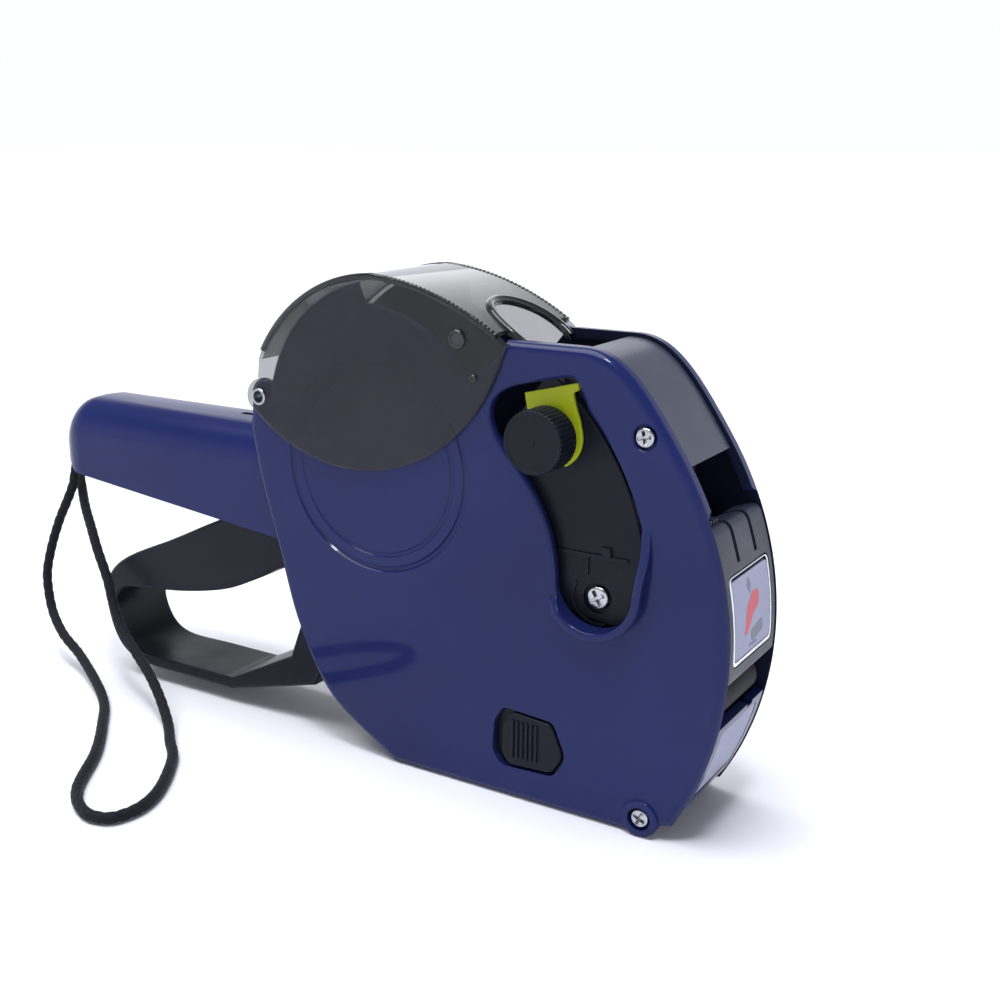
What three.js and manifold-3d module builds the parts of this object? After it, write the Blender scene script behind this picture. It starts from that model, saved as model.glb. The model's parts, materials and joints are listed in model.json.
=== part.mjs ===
// Hand-held price labeling gun: two side panels carrying a squeeze lever, a swinging print head,
// a feed wheel and a hinged roll cover. Millimetres, +Z up, +X towards the nose, -Y the knob side.
// The origin is on the flat underside of the base plate, midway between the panels.
import * as THREE from 'three';
import { mergeVertices } from 'three/addons/utils/BufferGeometryUtils.js';
import Module from 'manifold-3d';

const wasm = await Module();
wasm.setup();

// ---- driving dimensions ------------------------------------------------------------------
const GAP = 0.3;
const HALF_WIDTH = 18;
const PANEL_WALL = 2;
const INNER_HALF = HALF_WIDTH - PANEL_WALL;
const FIT_HALF = INNER_HALF - GAP;
const FLANGE_HALF = 13.4;
const FLANGE_DEPTH = 2.6;
const BODY_TOP = 122.7;
const NOSE = { x: -30, z: 50, radius: 89 };
const NOSE_CORNER = 33;
const LIP_STEP = 23.5;
const BOSS = { x: 38.4, z: 5, radius: 5 };
const TIE = { x: 35.6, z: 103, radius: 2.2 };

const ARM_PIVOT = { x: -30, z: 62 };
const ARM_TRAVEL = 40.2;
const ARM_PLATE = { inner: 12.1, outer: 14.4, radius: 66, from: -9, to: 55 };
const LEVER_PIVOT = { x: -63, z: 44 };
const LEVER_HALF = 12;
const LEVER_DRIVE = 56;
const LEVER_DRIVE_ANGLE = 35.35;

const COVER_HINGE = { x: -81.5, z: 101 };
const COVER_OUTER = 19.3;
const COVER_WALL = 1.2;
const COVER_REAR = { x: -41.4, z: 92, radius: 45.1 };
const COVER_FRONT = { x: -49.1, z: 55.5, radius: 81.9 };
const COVER_SKIRT = { x: -50.4, z: 133.8, radius: 50 };

const WINDOW = { inner: 42.8, outer: 68, foot: { x: 23.8, z: 64, radius: 11.2 } };
const KNOB_ORBIT = 55;
const KNOB_DOWN_ANGLE = 3.5;
const BAND_COUNT = 8;
const BAND_PITCH = 2.5;
const TYPE_HALF = 10.2;
const STRAP_DIAMETER = 3.2;
const STRAP_PIN = { x: -169.2, z: 76.4 };
const THROUGH = 30;
const HINGE_BORE = 2.8;
const SHAFT_BORE = 3.4;

const SCREW = { sink: 1.2, bore: 1.7, shank: 1.1, length: 7 };
const SPRING = { x: -33, zLow: 30, zHigh: 55.8, radius: 3.4, wire: 0.5, turns: 7 };
const DOOR = { xRear: 6.6, thick: 2.2, lift: 0.6 };
const LABEL_SEAT = { sink: 0.8, thick: 0.4 };
const CHIN_LABEL = { half: 11.5, from: -25.5, to: -12.8 };
const BADGE = { half: 11.6, from: -1.2, to: 13.2, border: 0.9 };
const SKIN = NOSE.radius - 0.3;

const ROLL = { x: -43, z: 96.5, radius: 25 };
const INK = { x: 49.3, z: 64, radius: 4.1, half: 10.8 };
const FEED = { x: -12, z: 24, radius: 11, teeth: 12 };
const PAWL = { x: -29, z: 25, yNear: 7.6, yFar: 9.6 };
const ROLLER = { x: 51.4, z: 37.6, radius: 4.8, half: 11.4 };
const HANDLE = { front: -76, end: -173.4, top: 90.4, bottom: 56, wall: 2.2 };

// ---- materials ---------------------------------------------------------------------------
function finish(hex, roughness, metalness) {
  return new THREE.MeshStandardMaterial({ color: hex, roughness, metalness });
}
const NAVY = finish(0x1c2560, 0.28, 0);
const BLACK = finish(0x14161b, 0.5, 0);
const DARK_GREY = finish(0x2f333a, 0.5, 0);
const WINDOW_GREY = finish(0x555a63, 0.35, 0);
const SMOKED = finish(0x3d4148, 0.08, 0);
const INDICATOR = finish(0x9aa41e, 0.4, 0);
const WHITE_LABEL = finish(0xe4e5ee, 0.5, 0);
const FOIL = finish(0xb9bcc4, 0.3, 0.8);
const CHROME = finish(0xd0d2d6, 0.15, 1);
const STEEL = finish(0x8c9096, 0.35, 1);
const RUBBER = finish(0x1b1b1d, 0.8, 0);
const INK_FOAM = finish(0x1a1630, 0.95, 0);
const CORD = finish(0x101114, 0.9, 0);

// ---- outline helpers: every outline is a list of points in the XZ plane -------------------
const radians = THREE.MathUtils.degToRad;
const at = (x, z) => new THREE.Vector2(x, z);

function polar(centre, radius, degrees) {
  const angle = radians(degrees);
  return at(centre.x + radius * Math.cos(angle), centre.z + radius * Math.sin(angle));
}

function arc(centre, radius, from, to, steps) {
  const points = [];
  for (let i = 0; i <= steps; i += 1) {
    points.push(polar(centre, radius, from + ((to - from) * i) / steps));
  }
  return points;
}

function bezier(start, pullStart, pullEnd, end, steps) {
  return new THREE.CubicBezierCurve(start, pullStart, pullEnd, end).getPoints(steps);
}

function smooth(pairs, steps) {
  return new THREE.SplineCurve(pairs.map(([x, z]) => at(x, z))).getPoints(steps);
}

// Moves an open run of points to its left, which is inwards on a counterclockwise outline.
function inset(points, distance) {
  return points.map((point, i) => {
    const before = points[Math.max(i - 1, 0)];
    const after = points[Math.min(i + 1, points.length - 1)];
    const along = after.clone().sub(before).normalize();
    return at(point.x - along.y * distance, point.y + along.x * distance);
  });
}

function strip(points, outerInset, innerInset) {
  return [...inset(points, outerInset), ...inset(points, innerInset).reverse()];
}

function sector(centre, inner, outer, from, to, steps) {
  return [...arc(centre, outer, from, to, steps), ...arc(centre, inner, to, from, steps)];
}

function circle(x, z, radius, sides = 20) {
  return arc({ x, z }, radius, 0, 360 - 360 / sides, sides - 1);
}

// ---- solid helpers -----------------------------------------------------------------------
function slab(points, yFrom, yTo, holes = []) {
  const shape = new THREE.Shape(points);
  shape.holes = holes.map((hole) => new THREE.Path(hole));
  const low = Math.min(yFrom, yTo);
  const high = Math.max(yFrom, yTo);
  const solid = new THREE.ExtrudeGeometry(shape, { depth: high - low, bevelEnabled: false });
  return solid.rotateX(Math.PI / 2).translate(0, high, 0);
}

function rod(x, z, radius, yFrom, yTo, sides = 20) {
  return slab(circle(x, z, radius, sides), yFrom, yTo);
}

// A cutter for a hole right across the tool.
function bore(x, z, radius, sides = 20) {
  return rod(x, z, radius, -THROUGH, THROUGH, sides);
}

function block(x, y, z) {
  const box = new THREE.BoxGeometry(x[1] - x[0], y[1] - y[0], z[1] - z[0]);
  return box.translate((x[0] + x[1]) / 2, (y[0] + y[1]) / 2, (z[0] + z[1]) / 2);
}

const ordered = (a, b) => [Math.min(a, b), Math.max(a, b)];

// A section in the YZ plane carried along X, and a plan in the XY plane carried up Z.
function prismX(section, xLow, xHigh) {
  const shape = new THREE.Shape(section);
  const solid = new THREE.ExtrudeGeometry(shape, { depth: xHigh - xLow, bevelEnabled: false });
  const turn = new THREE.Matrix4().makeBasis(new THREE.Vector3(0, 1, 0),
    new THREE.Vector3(0, 0, 1), new THREE.Vector3(1, 0, 0));
  return solid.applyMatrix4(turn).translate(xLow, 0, 0);
}

function prismZ(plan, zLow, zHigh) {
  const shape = new THREE.Shape(plan);
  const solid = new THREE.ExtrudeGeometry(shape, { depth: zHigh - zLow, bevelEnabled: false });
  return solid.translate(0, 0, zLow);
}

function toSolid(geometry) {
  const bare = geometry.clone();
  bare.deleteAttribute('normal');
  bare.deleteAttribute('uv');
  const merged = mergeVertices(bare, 1e-4);
  const corners = merged.index.array;
  const triangles = [];
  for (let i = 0; i < corners.length; i += 3) {
    const [a, b, c] = [corners[i], corners[i + 1], corners[i + 2]];
    if (a !== b && b !== c && c !== a) triangles.push(a, b, c);
  }
  const vertProperties = new Float32Array(merged.attributes.position.array);
  const triVerts = new Uint32Array(triangles);
  return new wasm.Manifold(new wasm.Mesh({ numProp: 3, vertProperties, triVerts }));
}

function toGeometry(solid) {
  const mesh = solid.getMesh();
  const geometry = new THREE.BufferGeometry();
  geometry.setAttribute('position', new THREE.BufferAttribute(mesh.vertProperties, 3));
  geometry.setIndex(new THREE.BufferAttribute(mesh.triVerts, 1));
  return geometry;
}

function join(first, ...others) {
  return toGeometry(others.reduce((sum, next) => sum.add(toSolid(next)), toSolid(first)));
}

function cut(first, ...tools) {
  return toGeometry(tools.reduce((rest, tool) => rest.subtract(toSolid(tool)), toSolid(first)));
}

function common(first, ...others) {
  return toGeometry(others.reduce((core, next) => core.intersect(toSolid(next)), toSolid(first)));
}

const gun = new THREE.Group();

function add(name, geometry, material, parent = gun) {
  const mesh = new THREE.Mesh(geometry, material);
  mesh.name = name;
  parent.add(mesh);
  return mesh;
}

// ---- side panels -------------------------------------------------------------------------
const topAndNose = [
  ...arc(NOSE, NOSE.radius, -31, NOSE_CORNER, 22),
  ...bezier(polar(NOSE, NOSE.radius, NOSE_CORNER), at(34.8, 113.6), at(28, BODY_TOP),
    at(18, BODY_TOP), 8).slice(1),
  at(-3, BODY_TOP),
];

const rearRun = smooth([[-87.2, 91], [-84.1, 76.4], [-78.2, 56], [-71.8, 34.8], [-60.5, 15],
  [-38, 0]], 22);

function panelOutline() {
  return [
    ...arc(BOSS, BOSS.radius, -90, -20, 5),
    ...topAndNose,
    ...smooth([[-6, 118.5], [-10, 115.2], [-14.7, 113.7]], 4),
    ...arc({ x: -48, z: 86 }, 43.3, 41, 87.5, 9),
    ...arc({ x: -41, z: 96.3 }, 39, 100.8, 165, 12),
    ...arc(COVER_HINGE, 5, 60, 200, 8),
    ...rearRun,
  ];
}

function windowOutline() {
  const { foot } = WINDOW;
  return [
    ...arc(ARM_PIVOT, WINDOW.outer, 47, 14, 10),
    at(foot.x + foot.radius, foot.z + 2),
    ...arc(foot, foot.radius, 0, -172, 12),
    ...arc(ARM_PIVOT, WINDOW.inner, -2, 56, 10),
    ...smooth([[-6, 101.5], [-5.2, 106], [1.5, 111.3]], 5),
    at(15.4, 115.1),
  ];
}

// A raised rim guards the foot of the window.
function windowGuard() {
  const { foot } = WINDOW;
  const rim = [
    at(foot.x + foot.radius + 1.4, 78),
    ...arc(foot, foot.radius, 0, -172, 12).slice(0, 12),
  ];
  const wall = slab(strip(rim, 2.2, 0), -HALF_WIDTH - 3.4, -HALF_WIDTH + 0.1);
  const ramp = prismX([at(-23, 66), at(-18, 79), at(-23, 79)], 30, 45);
  return cut(wall, ramp);
}

const latchOpening = [at(-5.1, 12.4), at(-2.4, 8.9), at(13.2, 9.6), at(16.2, 14.6), at(16.2, 17),
  at(12.9, 24.6), at(-1.9, 25.6), at(-4.6, 21.2)];

function sidePanel(side) {
  const outer = side * HALF_WIDTH;
  const inner = side * INNER_HALF;
  const fuse = side * (INNER_HALF + 0.1);
  const beyond = side * (HALF_WIDTH + 4);
  const within = side * (FLANGE_HALF - 3);
  const seat = side * (HALF_WIDTH - SCREW.sink);
  const lipLow = polar(NOSE, NOSE.radius, LIP_STEP).y;
  const lip = topAndNose.filter((point) => point.y > lipLow);
  const holes = side < 0 ? [windowOutline()] : [];
  const parts = [
    slab(panelOutline(), outer, inner, holes),
    slab(strip(lip, 0, FLANGE_DEPTH), fuse, side * FLANGE_HALF),
    slab(strip(rearRun.slice(9), 0, FLANGE_DEPTH), fuse, side * (LEVER_HALF + 1)),
  ];
  if (side < 0) parts.push(windowGuard());
  return cut(
    join(...parts),
    rod(COVER_HINGE.x, COVER_HINGE.z, HINGE_BORE, beyond, within),
    rod(TIE.x, TIE.z, 4, beyond, seat),
    rod(TIE.x, TIE.z, SCREW.bore, beyond, within),
    rod(BOSS.x, BOSS.z, 3.8, beyond, seat),
    rod(BOSS.x, BOSS.z, SCREW.bore, beyond, within),
    slab(latchOpening, beyond, within),
  );
}

add('right_side_panel', sidePanel(-1), NAVY);
add('left_side_panel', sidePanel(1), NAVY);

// ---- screws, each with a cross recess ----------------------------------------------------
function crossScrew(x, z, side, seat, headRadius, length) {
  const top = seat + 1.4;
  const head = rod(x, z, headRadius, side * seat, side * top, 20);
  const shank = rod(x, z, SCREW.shank, side * (seat + 0.1), side * (seat - length), 12);
  const reach = ordered(side * (top + 1), side * (top - 0.9));
  const long = headRadius * 0.62;
  const half = 0.5;
  const across = block([x - long, x + long], reach, [z - half, z + half]);
  const upright = block([x - half, x + half], reach, [z - long, z + long]);
  return cut(join(head, shank), join(across, upright));
}

const sides = [['right', -1], ['left', 1]];
for (const [sideName, side] of sides) {
  const seat = HALF_WIDTH - SCREW.sink + GAP;
  add(`${sideName}_front_screw`, crossScrew(TIE.x, TIE.z, side, seat, 3.2, SCREW.length), CHROME);
  add(`${sideName}_boss_screw`, crossScrew(BOSS.x, BOSS.z, side, seat, 3.3, SCREW.length), CHROME);
}

// A bar between the panels with a blind screw hole in each end.
function tieBar(x, z, radius) {
  const bores = sides.map(([, side]) => rod(x, z, 1.4, side * THROUGH, side * 8, 16));
  return cut(rod(x, z, radius, -FIT_HALF, FIT_HALF, 20), ...bores);
}
add('front_tie_bar', tieBar(TIE.x, TIE.z, TIE.radius), STEEL);
add('bottom_hinge_bar', tieBar(BOSS.x, BOSS.z, 2.3), STEEL);

// ---- underside: fixed plate, hinged door and the two latches -----------------------------
const springSeat = [at(0, 2), at(5.2, 2), at(5.2, SPRING.zLow - 1.5), at(2, SPRING.zLow - GAP),
  at(0, SPRING.zLow - GAP)];
const springPost = new THREE.LatheGeometry(springSeat, 20).rotateX(Math.PI / 2);
add('base_plate', join(
  block([-36, DOOR.xRear - GAP], [-FIT_HALF, FIT_HALF], [0, DOOR.thick]),
  springPost.translate(SPRING.x, 0, 0),
), NAVY);

add('bottom_door', cut(
  join(
    block([DOOR.xRear, BOSS.x], [-FIT_HALF, FIT_HALF], [DOOR.lift, DOOR.thick + DOOR.lift]),
    rod(BOSS.x, BOSS.z, 4.2, -FIT_HALF, FIT_HALF, 28),
    ...sides.map(([, side]) => join(
      block([9.8, 11.4], ordered(side * 11.5, side * 14), [DOOR.lift + 1, 7.5]),
      block([7.4, 11.4], ordered(side * 11.5, side * 14), [5.3, 7.5]),
    )),
  ),
  bore(BOSS.x, BOSS.z, 2.6, 24),
), NAVY);

// The button fills its opening except for the travel at the back; ribs run across the travel.
function latch(side) {
  const button = [at(-1.6, 12.6), at(0.2, 10.2), at(12.8, 10.6), at(15.7, 15), at(15.7, 16.7),
    at(12.5, 23.9), at(1.6, 24.7), at(-0.9, 20.6)];
  const ribs = [1.4, 4.1, 6.8, 9.5].map((x) => (
    block([x, x + 1.3], ordered(side * 18.2, side * 19.2), [12.4, 22.4])));
  return join(
    slab(button, side * 15.6, side * 18.3),
    ...ribs,
    block([-2, 15], ordered(side * 14.9, side * 15.7), [8, 21.5]),
    block([1, 4.5], ordered(side * 14.9, side * 15.7), [3.8, 8.1]),
    block([1, 7.1], ordered(side * 12.2, side * 15), [3.8, 5]),
    block([1, 4.5], ordered(side * 14.8, side * 15.1), [3.8, 5]),
  );
}
for (const [sideName, side] of sides) add(`${sideName}_latch_button`, latch(side), BLACK);

// ---- nose: chin, front cover, digit window -----------------------------------------------
// A plate curved to the nose, with an outline given as half width, lower and upper angle.
function nosePatch(half, from, to, inner, outer, steps = 10) {
  return slab(sector(NOSE, inner, outer, from, to, steps), -half, half);
}

// A round-cornered plate curved to the nose.
function noseLabel(half, from, to, inner, outer, corner) {
  const low = polar(NOSE, outer, from).y;
  const high = polar(NOSE, outer, to).y;
  const plan = [
    ...arc({ x: half - corner, z: low + corner }, corner, -90, 0, 4),
    ...arc({ x: half - corner, z: high - corner }, corner, 0, 90, 4),
    ...arc({ x: -half + corner, z: high - corner }, corner, 90, 180, 4),
    ...arc({ x: -half + corner, z: low + corner }, corner, 180, 270, 4),
  ];
  const column = prismX(plan, NOSE.x + 60, NOSE.x + 100);
  return common(nosePatch(half + 1, from - 2, to + 2, inner, outer, 14), column);
}

const labelInner = SKIN - LABEL_SEAT.sink + GAP;
const labelShell = [labelInner, labelInner + LABEL_SEAT.thick];
const seatShell = [SKIN - LABEL_SEAT.sink, SKIN + 1];

add('front_chin', cut(
  nosePatch(FIT_HALF, -28.2, -11.4, SKIN - 2.4, SKIN),
  noseLabel(CHIN_LABEL.half + GAP, CHIN_LABEL.from - 0.2, CHIN_LABEL.to + 0.2, ...seatShell, 1.3),
  block([40, 70], [4, 7.5], [31.4, 40]),
), NAVY);
const chinLabel = noseLabel(CHIN_LABEL.half, CHIN_LABEL.from, CHIN_LABEL.to, ...labelShell, 1);
add('chin_label', chinLabel, WHITE_LABEL);

const coverHinge = { ...polar(NOSE, SKIN - 1.9, -3), radius: 1.9 };
const coverSlots = sides.map(([, side]) => (
  block([30, 70], ordered(side * 5.2 + 0.6, side * 6.5 + 0.6), [70.5, 90])));
const coverTopEdge = [
  ...arc(NOSE, SKIN, 19.9, 20.8, 1), polar(NOSE, SKIN - 0.6, 21.2), polar(NOSE, SKIN - 6.5, 21.4),
  polar(NOSE, SKIN - 6.5, 20), polar(NOSE, SKIN - 2.2, 19.9),
];
add('front_cover', cut(
  join(
    nosePatch(FIT_HALF, -3, 20, SKIN - 2.2, SKIN, 14),
    slab(coverTopEdge, -FIT_HALF, FIT_HALF),
    rod(coverHinge.x, coverHinge.y, coverHinge.radius, -FIT_HALF, FIT_HALF, 20),
  ),
  bore(coverHinge.x, coverHinge.y, 1.1, 16),
  noseLabel(BADGE.half + GAP, BADGE.from - 0.2, BADGE.to + 0.2, ...seatShell, 2.3),
  ...coverSlots,
), DARK_GREY);
add('front_cover_pin', rod(coverHinge.x, coverHinge.y, 0.9, -FIT_HALF, FIT_HALF, 14), STEEL);

const badgeHalf = BADGE.half - BADGE.border;
const badgeHole = noseLabel(badgeHalf, BADGE.from + 0.6, BADGE.to - 0.6, SKIN - 3, SKIN + 3, 1.4);
const badgePlate = noseLabel(BADGE.half, BADGE.from, BADGE.to, ...labelShell, 2);
add('badge_frame', cut(badgePlate, badgeHole), FOIL);
const badgeFace = noseLabel(badgeHalf - GAP, BADGE.from + 0.8, BADGE.to - 0.8, ...labelShell, 1.2);
add('badge_label', badgeFace, WHITE_LABEL);

const windowRun = [
  ...arc(NOSE, NOSE.radius, 31.5, NOSE_CORNER, 1),
  ...topAndNose.slice(23),
].filter((point) => point.x > 16.6);
windowRun.push(at(16.6, BODY_TOP));
add('digit_window', slab(strip(windowRun, 0.9, 2.4), -FLANGE_HALF + GAP, FLANGE_HALF - GAP), WINDOW_GREY);

// ---- roll compartment: tray, cover and its two tube rivets --------------------------------
const trayArc = sector(ROLL, ROLL.radius, ROLL.radius + 1.5, 195, 325, 20);
add('roll_tray', slab(trayArc, -FIT_HALF, FIT_HALF), BLACK);

const coverTop = [
  ...arc(COVER_FRONT, COVER_FRONT.radius, 56.5, 85.5, 12),
  ...arc(COVER_REAR, COVER_REAR.radius, 92, 153.5, 16),
];
const coverSide = [
  at(-0.9, 121.4),
  ...coverTop,
  ...arc(COVER_HINGE, 5, 100, 215, 7),
  ...arc(COVER_SKIRT, COVER_SKIRT.radius, 229, 345, 20),
];
const coverRoof = coverTop.filter((point) => point.x < -4);
const notchPlan = circle(0, 0, 1, 24).map((p) => at(p.x * 12 - 3.6, p.y * 11.6));
function coverWall(side) {
  return slab(coverSide, side * (COVER_OUTER - 1), side * COVER_OUTER);
}
add('roll_cover', cut(
  join(coverWall(-1), coverWall(1), slab(strip(coverRoof, 0, COVER_WALL), -COVER_OUTER, COVER_OUTER)),
  prismZ(notchPlan, BODY_TOP - 18, BODY_TOP + 22),
  bore(COVER_HINGE.x, COVER_HINGE.z, HINGE_BORE),
), SMOKED);

for (const [sideName, side] of sides) {
  const sleeve = [at(1.6, 12), at(2.5, 12), at(2.5, COVER_OUTER + GAP), at(3.4, COVER_OUTER + GAP),
    at(3, COVER_OUTER + 0.9), at(1.6, COVER_OUTER + 0.9), at(1.6, 12)];
  const rivet = new THREE.LatheGeometry(sleeve, 24);
  if (side < 0) rivet.rotateX(Math.PI);
  add(`${sideName}_cover_rivet`, rivet.translate(COVER_HINGE.x, 0, COVER_HINGE.z), STEEL);
}

// ---- handle: an inverted channel with a closed round end ----------------------------------
function handleForm(shrink, floor) {
  const top = HANDLE.top - shrink;
  const end = HANDLE.end + shrink;
  const side = [
    at(HANDLE.front, HANDLE.bottom - floor), at(HANDLE.front, top),
    ...arc({ x: end + 9 - shrink / 2, z: top - 9 + shrink / 2 }, 9 - shrink / 2, 90, 180, 6),
    at(end, 75.5 - floor), at(-160.5, 69.6 - floor),
  ];
  const half = FIT_HALF - shrink;
  const round = 6.5 - shrink / 2;
  const section = [
    at(-half, 40), at(half, 40),
    ...arc({ x: half - round, z: top - round }, round, 0, 90, 6),
    ...arc({ x: -half + round, z: top - round }, round, 90, 180, 6),
  ];
  const corner = 10 - shrink / 2;
  const plan = [
    at(HANDLE.front + 6, -half), at(HANDLE.front + 6, half),
    ...arc({ x: end + corner, z: half - corner }, corner, 90, 180, 6),
    ...arc({ x: end + corner, z: -half + corner }, corner, 180, 270, 6),
  ];
  return common(
    slab(side.reverse(), -THROUGH, THROUGH),
    prismX(section, HANDLE.end - 5, HANDLE.front + 1),
    prismZ(plan.reverse(), 0, BODY_TOP),
  );
}
const frontWall = block([HANDLE.front - 2, HANDLE.front + 6], [-THROUGH, THROUGH], [73, 100]);
const handleHollow = cut(handleForm(HANDLE.wall, 40), frontWall);
add('handle_grip', cut(
  handleForm(0, 0), handleHollow,
  block([-105, -95], [-1.2, 1.2], [86, 95]),
  rod(STRAP_PIN.x, STRAP_PIN.z, 1.8, -14.9, 14.9, 16),
), NAVY);
add('strap_pin', rod(STRAP_PIN.x, STRAP_PIN.z, 1.5, -14.6, 14.6, 16), STEEL);

// ---- squeeze lever: a closed finger loop on a cross shaft ---------------------------------
const leverLoop = [
  at(-157.6, 27), at(-156.2, 33), at(-151, 38.2), at(-102, 61), at(-82, 65.5), at(-70, 60),
  ...arc(LEVER_PIVOT, 9, 100, -60, 10),
  at(-71, 13.4), at(-104, 4.6), at(-143, 5), at(-150.5, 8), at(-155, 14),
].reverse();
const fingerHole = [
  at(-153.6, 25), at(-149.5, 29.8), at(-137, 31.2), at(-121, 33.6), at(-104, 37.6), at(-91, 43.4),
  at(-80, 49), at(-74.5, 46), at(-74, 38), at(-79.5, 21), at(-103.6, 8.4), at(-143, 8.6),
  at(-148.5, 11), at(-152.2, 16),
].reverse();
const drive = polar(LEVER_PIVOT, LEVER_DRIVE, LEVER_DRIVE_ANGLE);
const driveArm = slab([
  ...arc(LEVER_PIVOT, 5, LEVER_DRIVE_ANGLE + 90, LEVER_DRIVE_ANGLE + 270, 8),
  ...arc({ x: drive.x, z: drive.y }, 3.4, LEVER_DRIVE_ANGLE - 90, LEVER_DRIVE_ANGLE + 90, 8),
], -4, 4);
add('trigger_lever', cut(
  join(slab(leverLoop, -LEVER_HALF + 0.1, LEVER_HALF - 0.1, [fingerHole]), driveArm),
  bore(LEVER_PIVOT.x, LEVER_PIVOT.z, HINGE_BORE, 24),
  bore(drive.x, drive.y, 1.9),
), BLACK);
add('lever_shaft', rod(LEVER_PIVOT.x, LEVER_PIVOT.z, 2.5, -FIT_HALF, FIT_HALF, 24), STEEL);
add('drive_pin', rod(drive.x, drive.y, 1.6, -ARM_PLATE.outer, ARM_PLATE.outer, 20), STEEL);

// Compression spring under the drive arm: one closed wire, square ends left open.
function coilSpring({ x, zLow, zHigh, radius, wire, turns }) {
  const steps = turns * 8;
  const path = new THREE.CatmullRomCurve3(Array.from({ length: steps + 1 }, (_, i) => {
    const turn = (i / steps) * turns * 2 * Math.PI;
    return new THREE.Vector3(x + radius * Math.cos(turn), radius * Math.sin(turn),
      zLow + wire + ((zHigh - zLow - 2 * wire) * i) / steps);
  }));
  const section = new THREE.Shape(arc({ x: 0, z: 0 }, wire, 0, 300, 5));
  return new THREE.ExtrudeGeometry(section, { steps, extrudePath: path, bevelEnabled: false });
}
add('return_spring', coilSpring(SPRING), STEEL);

// ---- swinging arms and print head ---------------------------------------------------------
const armFan = [
  ...arc(ARM_PIVOT, ARM_PLATE.radius, ARM_PLATE.from, ARM_PLATE.to, 18),
  ...arc(ARM_PIVOT, 5.4, ARM_PLATE.to, ARM_PLATE.from + 360, 14),
];
const knobRest = polar(ARM_PIVOT, KNOB_ORBIT, KNOB_DOWN_ANGLE + ARM_TRAVEL);
const armScrew = polar(ARM_PIVOT, 53, -2.4);
const pinAngle = THREE.MathUtils.radToDeg(Math.atan2(drive.y - ARM_PIVOT.z, drive.x - ARM_PIVOT.x));
function driveSlot() {
  const ends = [polar(ARM_PIVOT, 17.4, pinAngle), polar(ARM_PIVOT, 20.4, pinAngle)];
  const track = [
    ...arc({ x: ends[1].x, z: ends[1].y }, 2, pinAngle - 90, pinAngle + 90, 8),
    ...arc({ x: ends[0].x, z: ends[0].y }, 2, pinAngle + 90, pinAngle + 270, 8),
  ];
  return slab(track, -THROUGH, THROUGH);
}
function printArm(side) {
  return cut(
    slab(armFan, side * ARM_PLATE.inner, side * ARM_PLATE.outer),
    bore(ARM_PIVOT.x, ARM_PIVOT.z, HINGE_BORE),
    bore(knobRest.x, knobRest.y, SHAFT_BORE),
    driveSlot(),
    rod(armScrew.x, armScrew.y, 4, side * (ARM_PLATE.outer - 0.9), side * THROUGH),
    bore(armScrew.x, armScrew.y, 1.5, 14),
  );
}
for (const [sideName, side] of sides) {
  add(`${sideName}_print_arm`, printArm(side), BLACK);
  const stub = rod(ARM_PIVOT.x, ARM_PIVOT.z, 2.5, side * ARM_PLATE.inner, side * FIT_HALF);
  add(`${sideName}_arm_pivot`, stub, STEEL);
  const seat = ARM_PLATE.outer - 0.6;
  add(`${sideName}_arm_screw`, crossScrew(armScrew.x, armScrew.y, side, seat, 3.3, 1.5), CHROME);
}

// The head is drawn in its printing position and turned back about the arm pivot to rest.
const head = new THREE.Group();
head.position.set(ARM_PIVOT.x, 0, ARM_PIVOT.z);
head.rotation.y = -radians(ARM_TRAVEL);
gun.add(head);
function addToHead(name, geometry, material) {
  return add(name, geometry.translate(-ARM_PIVOT.x, 0, -ARM_PIVOT.z), material, head);
}

const drum = polar(ARM_PIVOT, KNOB_ORBIT, KNOB_DOWN_ANGLE);
const anvil = { x: drum.x, z: 44, radius: 3 };
addToHead('print_head_housing', cut(
  block([13, 39], [-11.8, 11.8], [40, 75]),
  block([14.6, 40], [-10.5, 10.5], [39, 76]),
  bore(drum.x, drum.y, SHAFT_BORE),
), DARK_GREY);
addToHead('band_drum', cut(
  rod(drum.x, drum.y, 6.4, -TYPE_HALF, TYPE_HALF, 24),
  bore(drum.x, drum.y, SHAFT_BORE, 24),
), BLACK);
addToHead('type_anvil', rod(anvil.x, anvil.z, anvil.radius, -TYPE_HALF, TYPE_HALF), STEEL);

// One belt outline: straight flanks joining a large arc round the drum and a small one below.
function belt(offset) {
  const high = { x: drum.x, z: drum.y };
  return [
    ...arc(high, 6.7 + offset, -8, 188, 12),
    ...arc(anvil, anvil.radius + GAP + offset, 188, 352, 8),
  ];
}
function typeBand(centre) {
  const half = BAND_PITCH / 2 - 0.15;
  const loop = slab(belt(1.2), centre - half, centre + half, [belt(0)]);
  const foot = block([drum.x - 1.2, drum.x + 1.2], [centre - half, centre + half],
    [anvil.z - anvil.radius - 2.1, anvil.z - anvil.radius - 1]);
  return cut(join(loop, foot), slab(belt(0), centre - 3, centre + 3));
}
for (let i = 0; i < BAND_COUNT; i += 1) {
  addToHead(`type_band_${i + 1}`, typeBand((i - (BAND_COUNT - 1) / 2) * BAND_PITCH), RUBBER);
}

// ---- selector: a shaft that is pulled to choose a band and turned to change its figure -----
const knobBase = HALF_WIDTH - 0.5;
const knobFace = HALF_WIDTH + 8.2;
const knurls = 30;
const knurledEdge = Array.from({ length: knurls * 2 }, (_, i) => (
  polar({ x: drum.x, z: drum.y }, i % 2 ? 8.2 : 7.8, (i * 180) / knurls)));
addToHead('selector_knob', join(
  slab(knurledEdge, -knobFace, -knobBase),
  rod(drum.x, drum.y, 4.6, -knobBase - 0.1, -ARM_PLATE.outer - GAP),
), BLACK);
addToHead('selector_shaft', rod(drum.x, drum.y, 3, -ARM_PLATE.outer, ARM_PLATE.outer), STEEL);

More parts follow.
